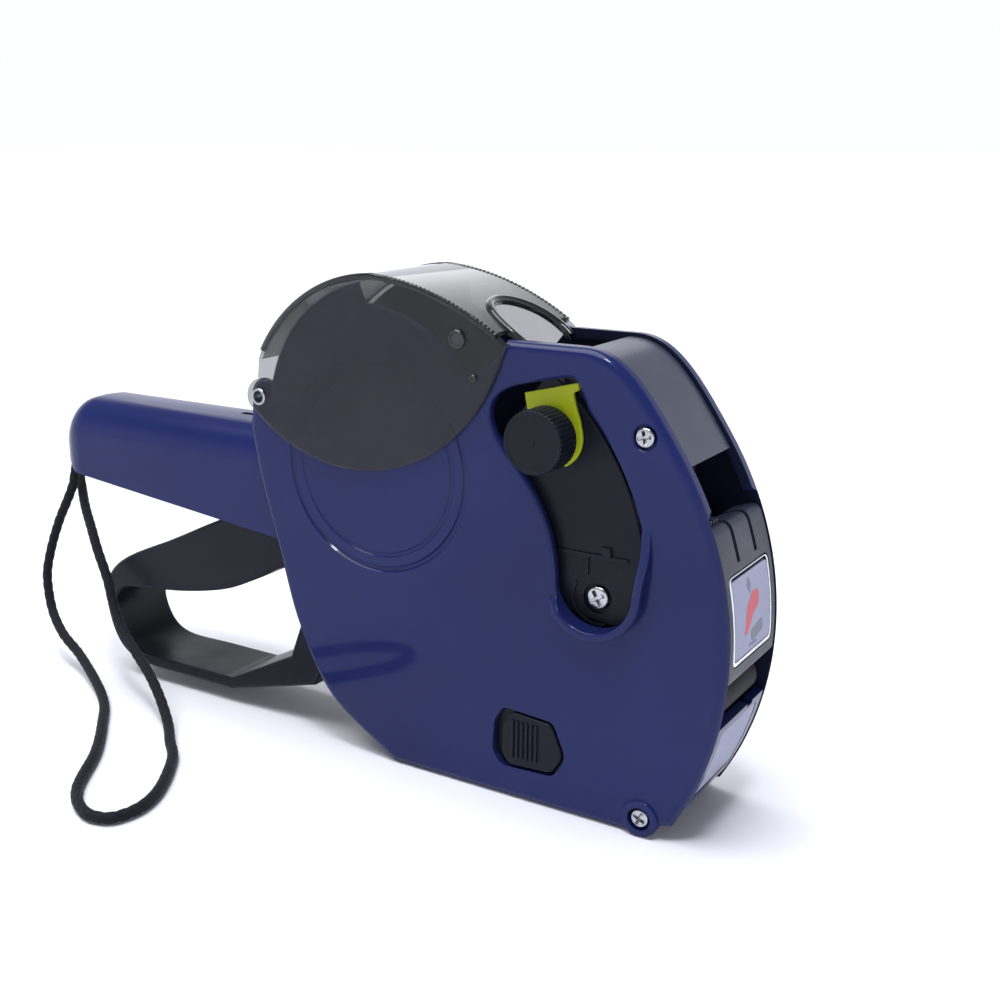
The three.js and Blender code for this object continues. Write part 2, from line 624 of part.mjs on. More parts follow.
// The pointer plate rings the knob's neck and carries a flag towards the top of the body.
function pointerPlate() {
  const { x, y: z } = knobRest;
  const plate = [
    ...arc({ x, z }, 9.6, -55, 62, 12),
    at(16.3, 112), at(15.6, 113), at(3.8, 109.4), at(3.4, 106),
    ...arc({ x, z }, 7.4, 128, 250, 10),
    ...arc({ x, z }, 8, 262, 296, 3),
  ];
  return slab(plate, -FIT_HALF + 0.05, -ARM_PLATE.outer - 0.35, [circle(x, z, 5, 24)]);
}
add('band_indicator', pointerPlate(), INDICATOR);

// ---- inking ------------------------------------------------------------------------------
add('ink_roller', join(
  rod(INK.x, INK.z, INK.radius, -INK.half, INK.half, 24),
  rod(INK.x, INK.z, 1.1, -12.8, 12.8, 14),
), INK_FOAM);
const inkCheek = [at(46.6, 66.2), at(46.6, 61.6), ...arc(NOSE, 85.6, 6.5, 13, 3)];
add('ink_holder', cut(
  join(
    nosePatch(12.8, 4.5, 15, 84.9, 85.8, 6),
    ...sides.map(([, side]) => slab(inkCheek, side * 11.3, side * 12.8)),
    ...sides.map(([, side]) => slab(sector(NOSE, 84.9, 85.8, 8, 11, 2), side * 12.7, side * FIT_HALF)),
  ),
  bore(INK.x, INK.z, 1.4, 14),
), BLACK);

// ---- label feed --------------------------------------------------------------------------
function toothed(radius, depth, teeth, lean) {
  return Array.from({ length: teeth }, (_, i) => {
    const start = (i * 360) / teeth;
    return [polar(FEED, radius - depth, start), polar(FEED, radius, start + lean),
      polar(FEED, radius, start + lean + 5), polar(FEED, radius - depth, start + lean + 12)];
  }).flat();
}
add('feed_wheel', cut(
  join(
    slab(toothed(FEED.radius, 1.6, FEED.teeth, 8), -7.5, -2.5),
    slab(toothed(FEED.radius, 1.6, FEED.teeth, 8), 2.5, 7.5),
    rod(FEED.x, FEED.z, 8.6, -7.4, 7.6, 30),
    slab(toothed(8, 1.8, FEED.teeth, 15), 7.4, 9.8),
  ),
  bore(FEED.x, FEED.z, 2.3),
), DARK_GREY);
add('feed_axle', rod(FEED.x, FEED.z, 2, -FIT_HALF, FIT_HALF, 20), STEEL);

const pawlPlan = [...arc(PAWL, 2.6, 60, 300, 8), at(-21.4, 24.4), at(-20.4, 26.4), at(-22.4, 27.4)];
add('feed_pawl', cut(
  slab(pawlPlan, PAWL.yNear, PAWL.yFar),
  bore(PAWL.x, PAWL.z, 1.3, 16),
), STEEL);
add('pawl_pin', rod(PAWL.x, PAWL.z, 1, 5, FIT_HALF, 14), STEEL);

add('platen', join(
  block([6, 42], [-11.6, 11.6], [32.4, 37.2]),
  block([32, 42], [-FIT_HALF, FIT_HALF], [32.4, 34.4]),
  slab([at(41.9, 34.6), at(45.6, 36.6), at(45.6, 37.2), at(41.9, 37.2)], -11.6, 11.6),
), DARK_GREY);
add('applicator_roller', cut(
  rod(ROLLER.x, ROLLER.z, ROLLER.radius, -ROLLER.half, ROLLER.half, 30),
  bore(ROLLER.x, ROLLER.z, 1.6, 16),
), RUBBER);
add('applicator_axle', rod(ROLLER.x, ROLLER.z, 1.3, -FIT_HALF, FIT_HALF, 14), STEEL);

// ---- wrist strap: one cord from the pin in the handle's end, round a loop and back ---------
const strapRoute = [
  [-169.2, -2.6, 73.8], [-171.4, -2.6, 71.7], [-174.2, -2.7, 69.6], [-176.2, -3.1, 67],
  [-176.8, -3.9, 63.4], [-177, -4.9, 59.4], [-178.6, -5.9, 54.8], [-183.4, -6.8, 45.6],
  [-186.8, -8.2, 35.6], [-187.5, -10, 27.7], [-185.7, -11.6, 22], [-182, -13.6, 15.7],
  [-173.8, -17, 10.5], [-162.1, -20.5, 6.4], [-137.5, -33.9, 1.8], [-123.7, -47.1, 1.8],
  [-110.9, -61.6, 1.8], [-98.6, -79.5, 1.8], [-91.8, -85.4, 1.8], [-84.2, -88.3, 1.8],
  [-78.8, -86.6, 1.8], [-76.4, -80.5, 1.8], [-78, -71.3, 1.8], [-90.3, -51.9, 1.8],
  [-97.9, -45.1, 1.9], [-105, -38.5, 2.8], [-111.8, -34, 6.6], [-120, -30, 11.6], [-138, -23.4, 21],
  [-143.9, -21, 27], [-148.6, -18.6, 34.5], [-155.6, -15.6, 42.5], [-162.2, -11.8, 48.4],
  [-170.2, -6.4, 52.4], [-176.8, -1.4, 56.4], [-180.4, 1.4, 61.2], [-179.8, 2.5, 66.2],
  [-176.2, 2.7, 69.4], [-172.2, 2.6, 71.6], [-169.2, 2.6, 73.8],
];
const strapCurve = new THREE.CatmullRomCurve3(strapRoute.map((p) => new THREE.Vector3(...p)));
const strapSection = new THREE.Shape(arc({ x: 0, z: 0 }, STRAP_DIAMETER / 2, 0, 315, 7));
add('wrist_strap', new THREE.ExtrudeGeometry(strapSection, {
  steps: 84, extrudePath: strapCurve, bevelEnabled: false,
}), CORD);

export default gun;
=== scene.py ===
import json
import math

import bmesh
import bpy
from mathutils import Matrix, Vector
from mathutils.geometry import delaunay_2d_cdt


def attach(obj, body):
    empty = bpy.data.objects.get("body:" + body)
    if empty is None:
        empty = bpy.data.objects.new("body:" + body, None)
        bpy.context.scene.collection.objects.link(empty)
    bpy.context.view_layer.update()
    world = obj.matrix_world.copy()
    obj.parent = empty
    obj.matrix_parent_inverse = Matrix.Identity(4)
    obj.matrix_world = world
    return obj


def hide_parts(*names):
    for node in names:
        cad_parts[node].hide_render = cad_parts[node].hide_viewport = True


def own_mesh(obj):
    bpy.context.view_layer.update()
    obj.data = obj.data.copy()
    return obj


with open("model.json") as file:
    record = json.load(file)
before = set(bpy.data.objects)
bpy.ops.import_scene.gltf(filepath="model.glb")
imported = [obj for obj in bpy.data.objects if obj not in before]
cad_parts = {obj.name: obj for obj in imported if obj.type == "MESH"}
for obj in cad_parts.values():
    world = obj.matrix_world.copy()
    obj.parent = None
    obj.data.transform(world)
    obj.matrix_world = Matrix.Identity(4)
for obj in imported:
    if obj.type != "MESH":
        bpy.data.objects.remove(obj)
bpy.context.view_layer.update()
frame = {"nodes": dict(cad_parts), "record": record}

# ---- driving dimensions, in millimetres ----
MM = 0.001
SIDES = (("right", -1), ("left", 1))

# Across the tool, measured from its middle plane.
FACE = 18.0
WALL = 2.0
FIT = 15.7
COVER_OUTER = 19.3
LEVER_HALF = 11.9
ARM_BACK = 12.1
ARM_FACE = 14.4
POINTER_BACK = 14.75
POINTER_FACE = 15.65

# The body: centres and radii of its outlines.
NOSE = (-30.0, 50.0)
NOSE_RADIUS = 89.0
NOSE_STEPS = 72
SKIN = NOSE_RADIUS - 0.3
BODY_TOP = 122.7
BOSS = (38.4, 5.0)
TIE = (35.6, 103.0)
ROUNDEL = (-42.7, 85.6)
WINDOW_FOOT = (23.8, 64.0)
WINDOW_FOOT_RADIUS = 11.2
WINDOW_INNER = 42.8
WINDOW_OUTER = 68.0

# The moving pieces.
ARM_PIVOT = (-30.0, 62.0)
KNOB_ORBIT = 55.0
KNOB_REST_ANGLE = 43.7
LEVER_PIVOT = (-63.0, 44.0)
LEVER_ARM = 56.0
LEVER_ARM_ANGLE = 35.35
COVER_HINGE = (-81.5, 101.0)
COVER_REAR = (-41.4, 92.0)
COVER_FRONT = (-49.1, 55.5)
COVER_SKIRT = (-50.4, 133.8)

STRAP_PIN = (-169.2, 76.4)
STRAP_RADIUS = 1.6


# ---- camera, at the photograph's viewing angle ----
def make_camera():
    data = bpy.data.cameras.new("camera")
    data.sensor_width = 36.0
    data.lens = 48.0
    data.shift_x = 0.053
    data.clip_start = 0.01
    camera = bpy.data.objects.new("camera", data)
    camera.location = (0.1627, -0.2998, 0.171)
    camera.rotation_euler = (math.radians(74.8), 0.0, math.radians(32.9))
    bpy.context.scene.collection.objects.link(camera)
    bpy.context.scene.camera = camera


make_camera()


# ---- outline helpers ----
def polar(centre, radius, degrees):
    angle = math.radians(degrees)
    return (centre[0] + radius * math.cos(angle), centre[1] + radius * math.sin(angle))


def arc(centre, radius, start, end, steps):
    return [polar(centre, radius, start + (end - start) * i / steps) for i in range(steps + 1)]


def circle(centre, radius, steps=48):
    return arc(centre, radius, 0, 360 - 360 / steps, steps - 1)


def bezier(a, b, c, d, steps):
    points = []
    for i in range(steps + 1):
        t = i / steps
        u = 1 - t
        weights = (u * u * u, 3 * u * u * t, 3 * u * t * t, t * t * t)
        points.append(tuple(sum(w * p[k] for w, p in zip(weights, (a, b, c, d))) for k in (0, 1)))
    return points


def smooth(points, steps):
    """A centripetal Catmull-Rom curve through points of any dimension, steps to each span."""
    knots = [Vector(p) for p in points]
    ends = [knots[0] * 2 - knots[1]] + knots + [knots[-1] * 2 - knots[-2]]
    curve = []
    for a, b, c, d in zip(ends, ends[1:], ends[2:], ends[3:]):
        t0, t1 = 0.0, math.sqrt((b - a).length)
        t2 = t1 + math.sqrt((c - b).length)
        t3 = t2 + math.sqrt((d - c).length)
        for i in range(steps):
            t = t1 + (t2 - t1) * i / steps
            ab = a.lerp(b, (t - t0) / (t1 - t0))
            bc = b.lerp(c, (t - t1) / (t2 - t1))
            cd = c.lerp(d, (t - t2) / (t3 - t2))
            abc = ab.lerp(bc, (t - t0) / (t2 - t0))
            bcd = bc.lerp(cd, (t - t1) / (t3 - t1))
            curve.append(tuple(abc.lerp(bcd, (t - t1) / (t2 - t1))))
    curve.append(tuple(knots[-1]))
    return curve


def unique(points, nearest=0.02):
    """A closed outline without points that fall on each other."""
    kept = []
    for point in points:
        if not kept or math.dist(kept[-1], point) > nearest:
            kept.append(point)
    if math.dist(kept[0], kept[-1]) < nearest:
        kept.pop()
    return kept


def offset(points, distance):
    """A closed counterclockwise outline moved inwards by distance, with mitred corners."""
    if not distance:
        return list(points)
    moved = []
    count = len(points)
    for i, (x, z) in enumerate(points):
        before, after = points[i - 1], points[(i + 1) % count]
        first = Vector((x - before[0], z - before[1])).normalized()
        second = Vector((after[0] - x, after[1] - z)).normalized()
        reach = max(1 + first.dot(second), 0.5)
        normal = Vector((-first.y - second.y, first.x + second.x)) / reach
        moved.append((x + normal.x * distance, z + normal.y * distance))
    return moved


def run_inset(points, distance):
    """An open run of points moved to its left."""
    moved = []
    for i, (x, z) in enumerate(points):
        before, after = points[max(i - 1, 0)], points[min(i + 1, len(points) - 1)]
        along = Vector((after[0] - before[0], after[1] - before[1])).normalized()
        moved.append((x - along.y * distance, z + along.x * distance))
    return moved


def ordered(a, b):
    return (min(a, b), max(a, b))


def strip(points, outer, inner):
    """The closed band between two insets of an open run."""
    return run_inset(points, outer) + run_inset(points, inner)[::-1]


def rounded(points, radius, steps=4):
    """A closed outline with its corners rounded."""
    result = []
    for i, point in enumerate(points):
        corner = Vector(point)
        back, ahead = Vector(points[i - 1]) - corner, Vector(points[(i + 1) % len(points)]) - corner
        cut = min(radius, back.length * 0.48, ahead.length * 0.48)
        start, end = corner + back.normalized() * cut, corner + ahead.normalized() * cut
        for k in range(steps + 1):
            t = k / steps
            result.append(tuple(start.lerp(corner, t).lerp(corner.lerp(end, t), t)))
    return unique(result)


def tilted(points, centre, degrees):
    turn = Matrix.Rotation(math.radians(degrees), 2)
    return [tuple(Vector(centre) + turn @ Vector(p)) for p in points]


# ---- mesh helpers ----
def add_loop(bm, points, depth):
    depths = depth if isinstance(depth, list) else [depth] * len(points)
    return [bm.verts.new((x * MM, y * MM, z * MM)) for (x, z), y in zip(points, depths)]


def bridge(bm, first, second, closed=True):
    count = len(first)
    for i in range(count if closed else count - 1):
        j = (i + 1) % count
        bm.faces.new((first[i], first[j], second[j], second[i]))


def skin(bm, rows, closed=True):
    """Joins each row of vertices to the next one."""
    for first, second in zip(rows, rows[1:]):
        bridge(bm, first, second, closed)


def within(x, z, sides):
    """Whether a point is inside an odd number of the loops that the sides make up."""
    inside = False
    for (ax, az), (bx, bz) in sides:
        if (az > z) != (bz > z) and x < ax + (bx - ax) * (z - az) / (bz - az):
            inside = not inside
    return inside


def fill(bm, loops):
    """Faces between closed loops that lie in one XZ plane, the loops inside the outer one left open."""
    corners = [vert for loop in loops for vert in loop]
    flat = [(vert.co.x / MM, vert.co.z / MM) for vert in corners]
    links = []
    start = 0
    for loop in loops:
        links += [(start + i, start + (i + 1) % len(loop)) for i in range(len(loop))]
        start += len(loop)
    sides = [(flat[a], flat[b]) for a, b in links]
    points, _, triangles, origins, _, _ = delaunay_2d_cdt([Vector(p) for p in flat], links, [], 0, 1e-6)
    for triangle in triangles:
        middle = sum((points[i] for i in triangle), Vector((0, 0))) / 3
        if within(middle.x, middle.y, sides):
            bm.faces.new([corners[origins[i][0]] for i in triangle])


def add_object(name, bm):
    mesh = bpy.data.meshes.new(name)
    bm.to_mesh(mesh)
    bm.free()
    made = bpy.data.objects.new(name, mesh)
    bpy.context.scene.collection.objects.link(made)
    return made


def to_object(name, bm):
    """An object of a closed mesh, welded, with its faces pointing out."""
    bmesh.ops.remove_doubles(bm, verts=bm.verts, dist=2e-6)
    bmesh.ops.dissolve_degenerate(bm, dist=1e-7, edges=bm.edges)
    bmesh.ops.recalc_face_normals(bm, faces=bm.faces)
    return add_object(name, bm)


def apply_modifiers(piece):
    """Makes what the modifiers give the piece's own mesh."""
    graph = bpy.context.evaluated_depsgraph_get()
    mesh = bpy.data.meshes.new_from_object(piece.evaluated_get(graph))
    piece.modifiers.clear()
    piece.data = mesh


def combine(piece, tool, operation):
    modifier = piece.modifiers.new("shape", "BOOLEAN")
    modifier.operation = operation
    modifier.solver = "EXACT"
    modifier.object = tool
    apply_modifiers(piece)
    bpy.data.objects.remove(tool)
    return piece


def fuse(piece, *tools):
    for tool in tools:
        combine(piece, tool, "UNION")
    return piece


def carve(piece, *tools):
    for tool in tools:
        combine(piece, tool, "DIFFERENCE")
    return piece


def edge(back, face, face_round, back_round=0.0, steps=5):
    """The section of a plate's edge, as (inset, y) pairs from its back to its face."""
    way = 1 if face > back else -1
    quarter = [math.pi / 2 * i / steps for i in range(steps + 1)]
    points = [(back_round * (1 - math.sin(a)), back + way * back_round * (1 - math.cos(a)))
              for a in quarter] if back_round else [(0.0, back)]
    points += [(face_round * (1 - math.cos(a)), face - way * face_round * (1 - math.sin(a)))
               for a in quarter] if face_round else [(0.0, face)]
    return points


def plate(name, outline, section, holes=(), hole_section=None, recesses=()):
    """A flat piece. A recess is a list of (points, y) rows from the face down, its last row filled."""
    bm = bmesh.new()
    backs, faces = [], []
    contours = [(outline, section, 1)] + [(hole, hole_section or section, -1) for hole in holes]
    for points, profile, way in contours:
        rows = [add_loop(bm, offset(points, way * inset), y) for inset, y in profile]
        skin(bm, rows)
        backs.append(rows[0])
        faces.append(rows[-1])
    for recess in recesses:
        rows = [add_loop(bm, points, y) for points, y in recess]
        skin(bm, rows)
        faces.append(rows[0])
        fill(bm, [rows[-1]])
    fill(bm, backs)
    fill(bm, faces)
    return to_object(name, bm)


def turned(name, centre, profile, steps=48, ripple=None):
    """A piece turned about the Y axis through centre: its profile is (radius, y) pairs that end at
    radius 0 or meet themselves, and ripple scales the radius at each step."""
    bm = bmesh.new()
    rows = []
    for radius, y in profile:
        if radius == 0:
            rows.append([bm.verts.new((centre[0] * MM, y * MM, centre[1] * MM))])
            continue
        points = []
        for i in range(steps):
            angle = 360 * i / steps
            points.append(polar(centre, radius * (ripple(i, radius) if ripple else 1), angle))
        rows.append(add_loop(bm, points, y))
    pairs = list(zip(rows, rows[1:]))
    if profile[0][0] and profile[-1][0]:
        pairs.append((rows[-1], rows[0]))
    for first, second in pairs:
        if len(first) == 1 or len(second) == 1:
            tip, ring = (first, second) if len(first) == 1 else (second, first)
            for i in range(steps):
                bm.faces.new((tip[0], ring[i], ring[(i + 1) % steps]))
        else:
            bridge(bm, first, second)
    return to_object(name, bm)


def rod(name, centre, radius, low, high, steps=48):
    """A plain cylinder across the tool."""
    return turned(name, centre, [(0, low), (radius, low), (radius, high), (0, high)], steps)


def on_side(side, profile):
    """A profile's depths on one side of the tool."""
    return [(radius, side * y) for radius, y in profile]


def tube(name, path, radius, sides=12, relief=None):
    """A closed tube along points in millimetres; relief scales the radius at (distance, angle)."""
    bm = bmesh.new()
    points = [Vector(p) for p in path]
    normal = Vector((0, 0, 1))
    rings = []
    distance = 0.0
    for i, point in enumerate(points):
        ahead = points[min(i + 1, len(points) - 1)] - points[max(i - 1, 0)]
        along = ahead.normalized()
        if abs(along.dot(normal)) > 0.98 and not rings:
            normal = Vector((1, 0, 0))
        normal = (normal - along * normal.dot(along)).normalized()
        across = along.cross(normal)
        if i:
            distance += (point - points[i - 1]).length
        ring = []
        for k in range(sides):
            angle = 2 * math.pi * k / sides
            size = radius * (relief(distance, angle) if relief else 1)
            outward = normal * math.cos(angle) + across * math.sin(angle)
            ring.append(bm.verts.new((point + outward * size) * MM))
        rings.append(ring)
    skin(bm, rings)
    bm.faces.new(rings[0])
    bm.faces.new(rings[-1])
    return to_object(name, bm)


def box(name, x, y, z):
    return plate(name, [(x[0], z[0]), (x[1], z[0]), (x[1], z[1]), (x[0], z[1])], [(0, y[0]), (0, y[1])])


def prism(name, ends):
    """A solid between two loops of (x, y, z) points."""
    bm = bmesh.new()
    loops = [[bm.verts.new(Vector(point) * MM) for point in end] for end in ends]
    bridge(bm, *loops)
    for loop in loops:
        bm.faces.new(loop)
    return to_object(name, bm)


def prism_up(name, outline, z_low, z_high):
    """A plan outline in XY carried up Z."""
    return prism(name, [[(x, y, z) for x, y in outline] for z in (z_low, z_high)])


def prism_along(name, outline, x_low, x_high):
    """A section outline in YZ carried along X."""
    return prism(name, [[(x, y, z) for y, z in outline] for x in (x_low, x_high)])


FLAT_STRENGTH = 16384


def shade(piece):
    """Smooth shading that keeps crisp edges sharp and the flat faces truly flat."""
    mesh = piece.data
    mesh.polygons.foreach_set("use_smooth", [True] * len(mesh.polygons))
    mesh.set_sharp_from_angle(angle=math.radians(32))
    strength = mesh.attributes.new("__mod_weightednormals_faceweight", "INT", "FACE")
    for face, entry in zip(mesh.polygons, strength.data):
        entry.value = FLAT_STRENGTH if abs(face.normal.y) > 0.9999 else 0
    modifier = piece.modifiers.new("normals", "WEIGHTED_NORMAL")
    modifier.keep_sharp = True
    modifier.use_face_influence = True
    modifier.weight = 60


# ---- materials ----
class Nodes:
    """A short way to add nodes to a material's tree."""

    def __init__(self, name):
        self.material = bpy.data.materials.new(name)
        self.material.use_nodes = True
        self.tree = self.material.node_tree
        self.shader = self.tree.nodes["Principled BSDF"]
        self.place = self.add("ShaderNodeTexCoord").outputs["Object"]

    def add(self, kind, **settings):
        node = self.tree.nodes.new(kind)
        for key, value in settings.items():
            setattr(node, key, value)
        return node

    def link(self, source, target):
        self.tree.links.new(source, target)

    def noise(self, scale, detail=4.0, stretch=(1, 1, 1)):
        spread = self.add("ShaderNodeMapping")
        spread.inputs["Scale"].default_value = stretch
        self.link(self.place, spread.inputs["Vector"])
        node = self.add("ShaderNodeTexNoise")
        node.inputs["Scale"].default_value = scale
        node.inputs["Detail"].default_value = detail
        self.link(spread.outputs["Vector"], node.inputs["Vector"])
        return node.outputs["Fac"]

    def range(self, value, low, high, start=0.3, end=0.7):
        node = self.add("ShaderNodeMapRange")
        for key, number in (("From Min", start), ("From Max", end), ("To Min", low), ("To Max", high)):
            node.inputs[key].default_value = number
        self.link(value, node.inputs["Value"])
        return node.outputs["Result"]

    def mix(self, amount, first, second):
        node = self.add("ShaderNodeMix", data_type="RGBA")
        for index, value in ((0, amount), (6, first), (7, second)):
            socket = node.inputs[index]
            if isinstance(value, bpy.types.NodeSocket):
                self.link(value, socket)
            else:
                socket.default_value = value
        return node.outputs[2]

    def bump(self, height, strength, distance):
        node = self.add("ShaderNodeBump")
        node.inputs["Strength"].default_value = strength
        node.inputs["Distance"].default_value = distance
        self.link(height, node.inputs["Height"])
        self.link(node.outputs["Normal"], self.shader.inputs["Normal"])


def shaded(colour, factor):
    return (*[min(1.0, part * factor) for part in colour[:3]], 1.0)


def plastic(name, colour, rough, grain_scale=900, grain=0.1, edge_highlight=1.5, patch=0.12, coat=0.0, gloss=0.22):
    """Moulded plastic: soft colour drift, fine grain, a painted highlight that lightens its sharp edges,
    and uneven gloss.
    """
    nodes = Nodes(name)
    inputs = nodes.shader.inputs
    cloud = nodes.range(nodes.noise(22, 3), 0, 1)
    drift = nodes.mix(cloud, shaded(colour, 1 - patch), shaded(colour, 1 + patch))
    # Sharp edges get a painted highlight: where Pointiness is high, the colour is lightened by the given
    # factor.
    edge_highlight_mask = nodes.range(nodes.add("ShaderNodeNewGeometry").outputs["Pointiness"], 0, 0.5, 0.51, 0.6)
    nodes.link(nodes.mix(edge_highlight_mask, drift, shaded(colour, edge_highlight)), inputs["Base Color"])
    nodes.link(nodes.range(nodes.noise(60, 5), rough * 0.85, rough * 1.2), inputs["Roughness"])
    nodes.bump(nodes.noise(grain_scale, 2), grain, 0.0001)
    inputs["Specular IOR Level"].default_value = gloss
    inputs["Coat Weight"].default_value = coat
    inputs["Coat Roughness"].default_value = 0.05
    return nodes.material


def metal(name, colour, rough, scratch=0.15):
    """Plated or turned metal with fine scratches and a little tarnish."""
    nodes = Nodes(name)
    inputs = nodes.shader.inputs
    inputs["Metallic"].default_value = 1.0
    tarnish = nodes.range(nodes.noise(140, 5), 0, 1)
    brushed = nodes.noise(500, 3, (1, 8, 1))
    nodes.link(nodes.mix(tarnish, shaded(colour, 0.82), shaded(colour, 1.06)), inputs["Base Color"])
    nodes.link(nodes.range(brushed, rough * 0.7, rough * 1.5), inputs["Roughness"])
    nodes.bump(nodes.noise(2500, 2, (1, 0.1, 1)), scratch, 0.00005)
    return nodes.material


def smoked(name, low, high, clear, gloss):
    """Clear smoked plastic: it darkens what is behind it and turns glossy at grazing angles."""
    nodes = Nodes(name)
    inputs = nodes.shader.inputs
    haze = nodes.range(nodes.noise(40, 4), 0, 1)
    nodes.link(nodes.mix(haze, (*low, 1), (*high, 1)), inputs["Base Color"])
    nodes.link(nodes.range(nodes.noise(120, 5), 0.03, 0.07), inputs["Roughness"])
    facing = nodes.add("ShaderNodeLayerWeight")
    facing.inputs["Blend"].default_value = 0.35
    slant = facing.outputs["Facing"]
    nodes.link(nodes.range(slant, gloss, 1.0, 0.3, 0.65), inputs["Specular IOR Level"])
    nodes.link(nodes.range(slant, 0.0, 1.0, 0.35, 0.65), inputs["Coat Weight"])
    nodes.link(nodes.range(slant, clear, 0.92, 0.3, 0.75), inputs["Alpha"])
    nodes.bump(nodes.noise(14, 1), 0.02, 0.001)
    return nodes.material


def foam(name, colour):
    nodes = Nodes(name)
    pores = nodes.range(nodes.noise(300, 4), 0, 1)
    nodes.link(nodes.mix(pores, shaded(colour, 0.5), shaded(colour, 1.6)),
               nodes.shader.inputs["Base Color"])
    nodes.shader.inputs["Roughness"].default_value = 0.9
    nodes.bump(nodes.noise(1400, 4), 0.8, 0.0004)
    return nodes.material


def braid(name, colour):
    """Woven cord: fine threads over the strands that the mesh has, with a soft sheen."""
    nodes = Nodes(name)
    inputs = nodes.shader.inputs
    threads = nodes.noise(2600, 3)
    nodes.link(nodes.mix(nodes.range(threads, 0, 1), shaded(colour, 0.6), shaded(colour, 2.2)),
               inputs["Base Color"])
    inputs["Roughness"].default_value = 0.75
    inputs["Sheen Weight"].default_value = 0.04
    inputs["Specular IOR Level"].default_value = 0.15
    nodes.bump(threads, 0.7, 0.0002)
    return nodes.material


# The look of each material slot, then the looks that single pieces have instead.
LOOKS = {
    "navy_plastic": plastic("navy_gloss", (0.011, 0.0168, 0.088), 0.2, 700, 0.04, 1.0, coat=0.27,
                            gloss=0.08),
    "black_plastic": plastic("black_satin", (0.006, 0.0075, 0.013), 0.36, 1500, 0.25, gloss=0.16),
    "dark_grey_plastic": plastic("grey_satin", (0.017, 0.021, 0.036), 0.36, 1300, 0.25, gloss=0.25),
    "grey_window": plastic("window_grey", (0.03, 0.036, 0.06), 0.3, 900, 0.08, 1.3, gloss=0.4),
    "indicator_yellow": plastic("indicator_yellow", (0.36, 0.42, 0.012), 0.33, 900, 0.12, 1.2),
    "white_label": plastic("label_white", (0.31, 0.325, 0.45), 0.45, 600, 0.06, 1.0, 0.04),
    "type_rubber": plastic("type_rubber", (0.02, 0.02, 0.023), 0.7, 2000, 0.5),
    "chrome": metal("chrome_plate", (0.5, 0.51, 0.54), 0.16),
    "steel": metal("turned_steel", (0.42, 0.43, 0.46), 0.26),
    "foil": metal("foil_border", (0.7, 0.71, 0.76), 0.22),
    "smoked_plastic": smoked("smoked_clear", (0.02, 0.021, 0.023), (0.032, 0.033, 0.036), 0.43, 0.4),
    "ink_foam": foam("ink_foam", (0.02, 0.016, 0.04)),
    "strap_cord": braid("cord_braid", (0.006, 0.006, 0.009)),
}
# Painted shade: a rougher, darker navy for the panels' inner faces. Its darkness stands in for the shade
# inside the body.
NAVY_PAINTED_SHADE = plastic("navy_inside_painted_shade", (0.006, 0.008, 0.024), 0.5, 700, 0.1, 1.3, gloss=0.12)
KNOB_BLACK = plastic("knob_black", (0.007, 0.009, 0.014), 0.42, 1800, 0.3, gloss=0.16)
PEG_BLACK = plastic("peg_black", (0.008, 0.008, 0.011), 0.16, 900, 0.05, gloss=0.6)
# Painted reflection: this near-black, less clear smoke for the roof's rim beads and the notch lip stands in
# for the dark reflections that these thick edges show.
SMOKED_EDGE = smoked("smoked_edge", (0.004, 0.004, 0.005), (0.008, 0.008, 0.01), 0.75, 0.5)
PICTURE_RED = plastic("print_red", (0.55, 0.09, 0.12), 0.4, 800, 0.05, 1.0, 0.08)
PICTURE_GREY = plastic("print_grey", (0.16, 0.18, 0.24), 0.4, 800, 0.05, 1.0, 0.08)


def place(piece, body, slot, *nodes, look=None):
    """Shades a finished piece, gives it the look of its slot, hangs it on its body and hides the CAD nodes
    that it stands for.
    """
    shade(piece)
    piece.data.materials.clear()
    piece.data.materials.append(look or LOOKS[slot])
    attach(piece, body)
    if nodes:
        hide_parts(*nodes)
    return piece


# ---- wrist strap ----
STRAP_ROUTE = [
    (-169.2, -2.6, 73.8), (-171.4, -2.6, 71.7), (-174.2, -2.7, 69.6), (-176.2, -3.1, 67),
    (-176.8, -3.9, 63.4), (-177, -4.9, 59.4), (-178.6, -5.9, 54.8), (-183.4, -6.8, 45.6),
    (-186.8, -8.2, 35.6), (-187.5, -10, 27.7), (-185.7, -11.6, 22), (-182, -13.6, 15.7),
    (-173.8, -17, 10.5), (-162.1, -20.5, 6.4), (-137.5, -33.9, 1.8), (-123.7, -47.1, 1.8),
    (-110.9, -61.6, 1.8), (-98.6, -79.5, 1.8), (-91.8, -85.4, 1.8), (-84.2, -88.3, 1.8),
    (-78.8, -86.6, 1.8), (-76.4, -80.5, 1.8), (-78, -71.3, 1.8), (-90.3, -51.9, 1.8),
    (-97.9, -45.1, 1.9), (-105, -38.5, 2.8), (-111.8, -34, 6.6), (-120, -30, 11.6), (-138, -23.4, 21),
    (-143.9, -21, 27), (-148.6, -18.6, 34.5), (-155.6, -15.6, 42.5), (-162.2, -11.8, 48.4),
    (-170.2, -6.4, 52.4), (-176.8, -1.4, 56.4), (-180.4, 1.4, 61.2), (-179.8, 2.5, 66.2),
    (-176.2, 2.7, 69.4), (-172.2, 2.6, 71.6), (-169.2, 2.6, 73.8),
]


def make_strap():
    """The braided cord along its route, with the strands of its weave raised on the surface."""
    pitch = 3.4
    strands = 4

    def weave(distance, angle):
        turn = 2 * math.pi * distance / pitch
        over = max(math.sin(strands * angle + turn), math.sin(strands * angle - turn + math.pi / 2))
        return 0.93 + 0.07 * over

    line = smooth(STRAP_ROUTE, 20)
    strap = tube("wrist_strap_braid", line, STRAP_RADIUS, 16, weave)
    place(strap, "housing", "strap_cord", "wrist_strap")


make_strap()


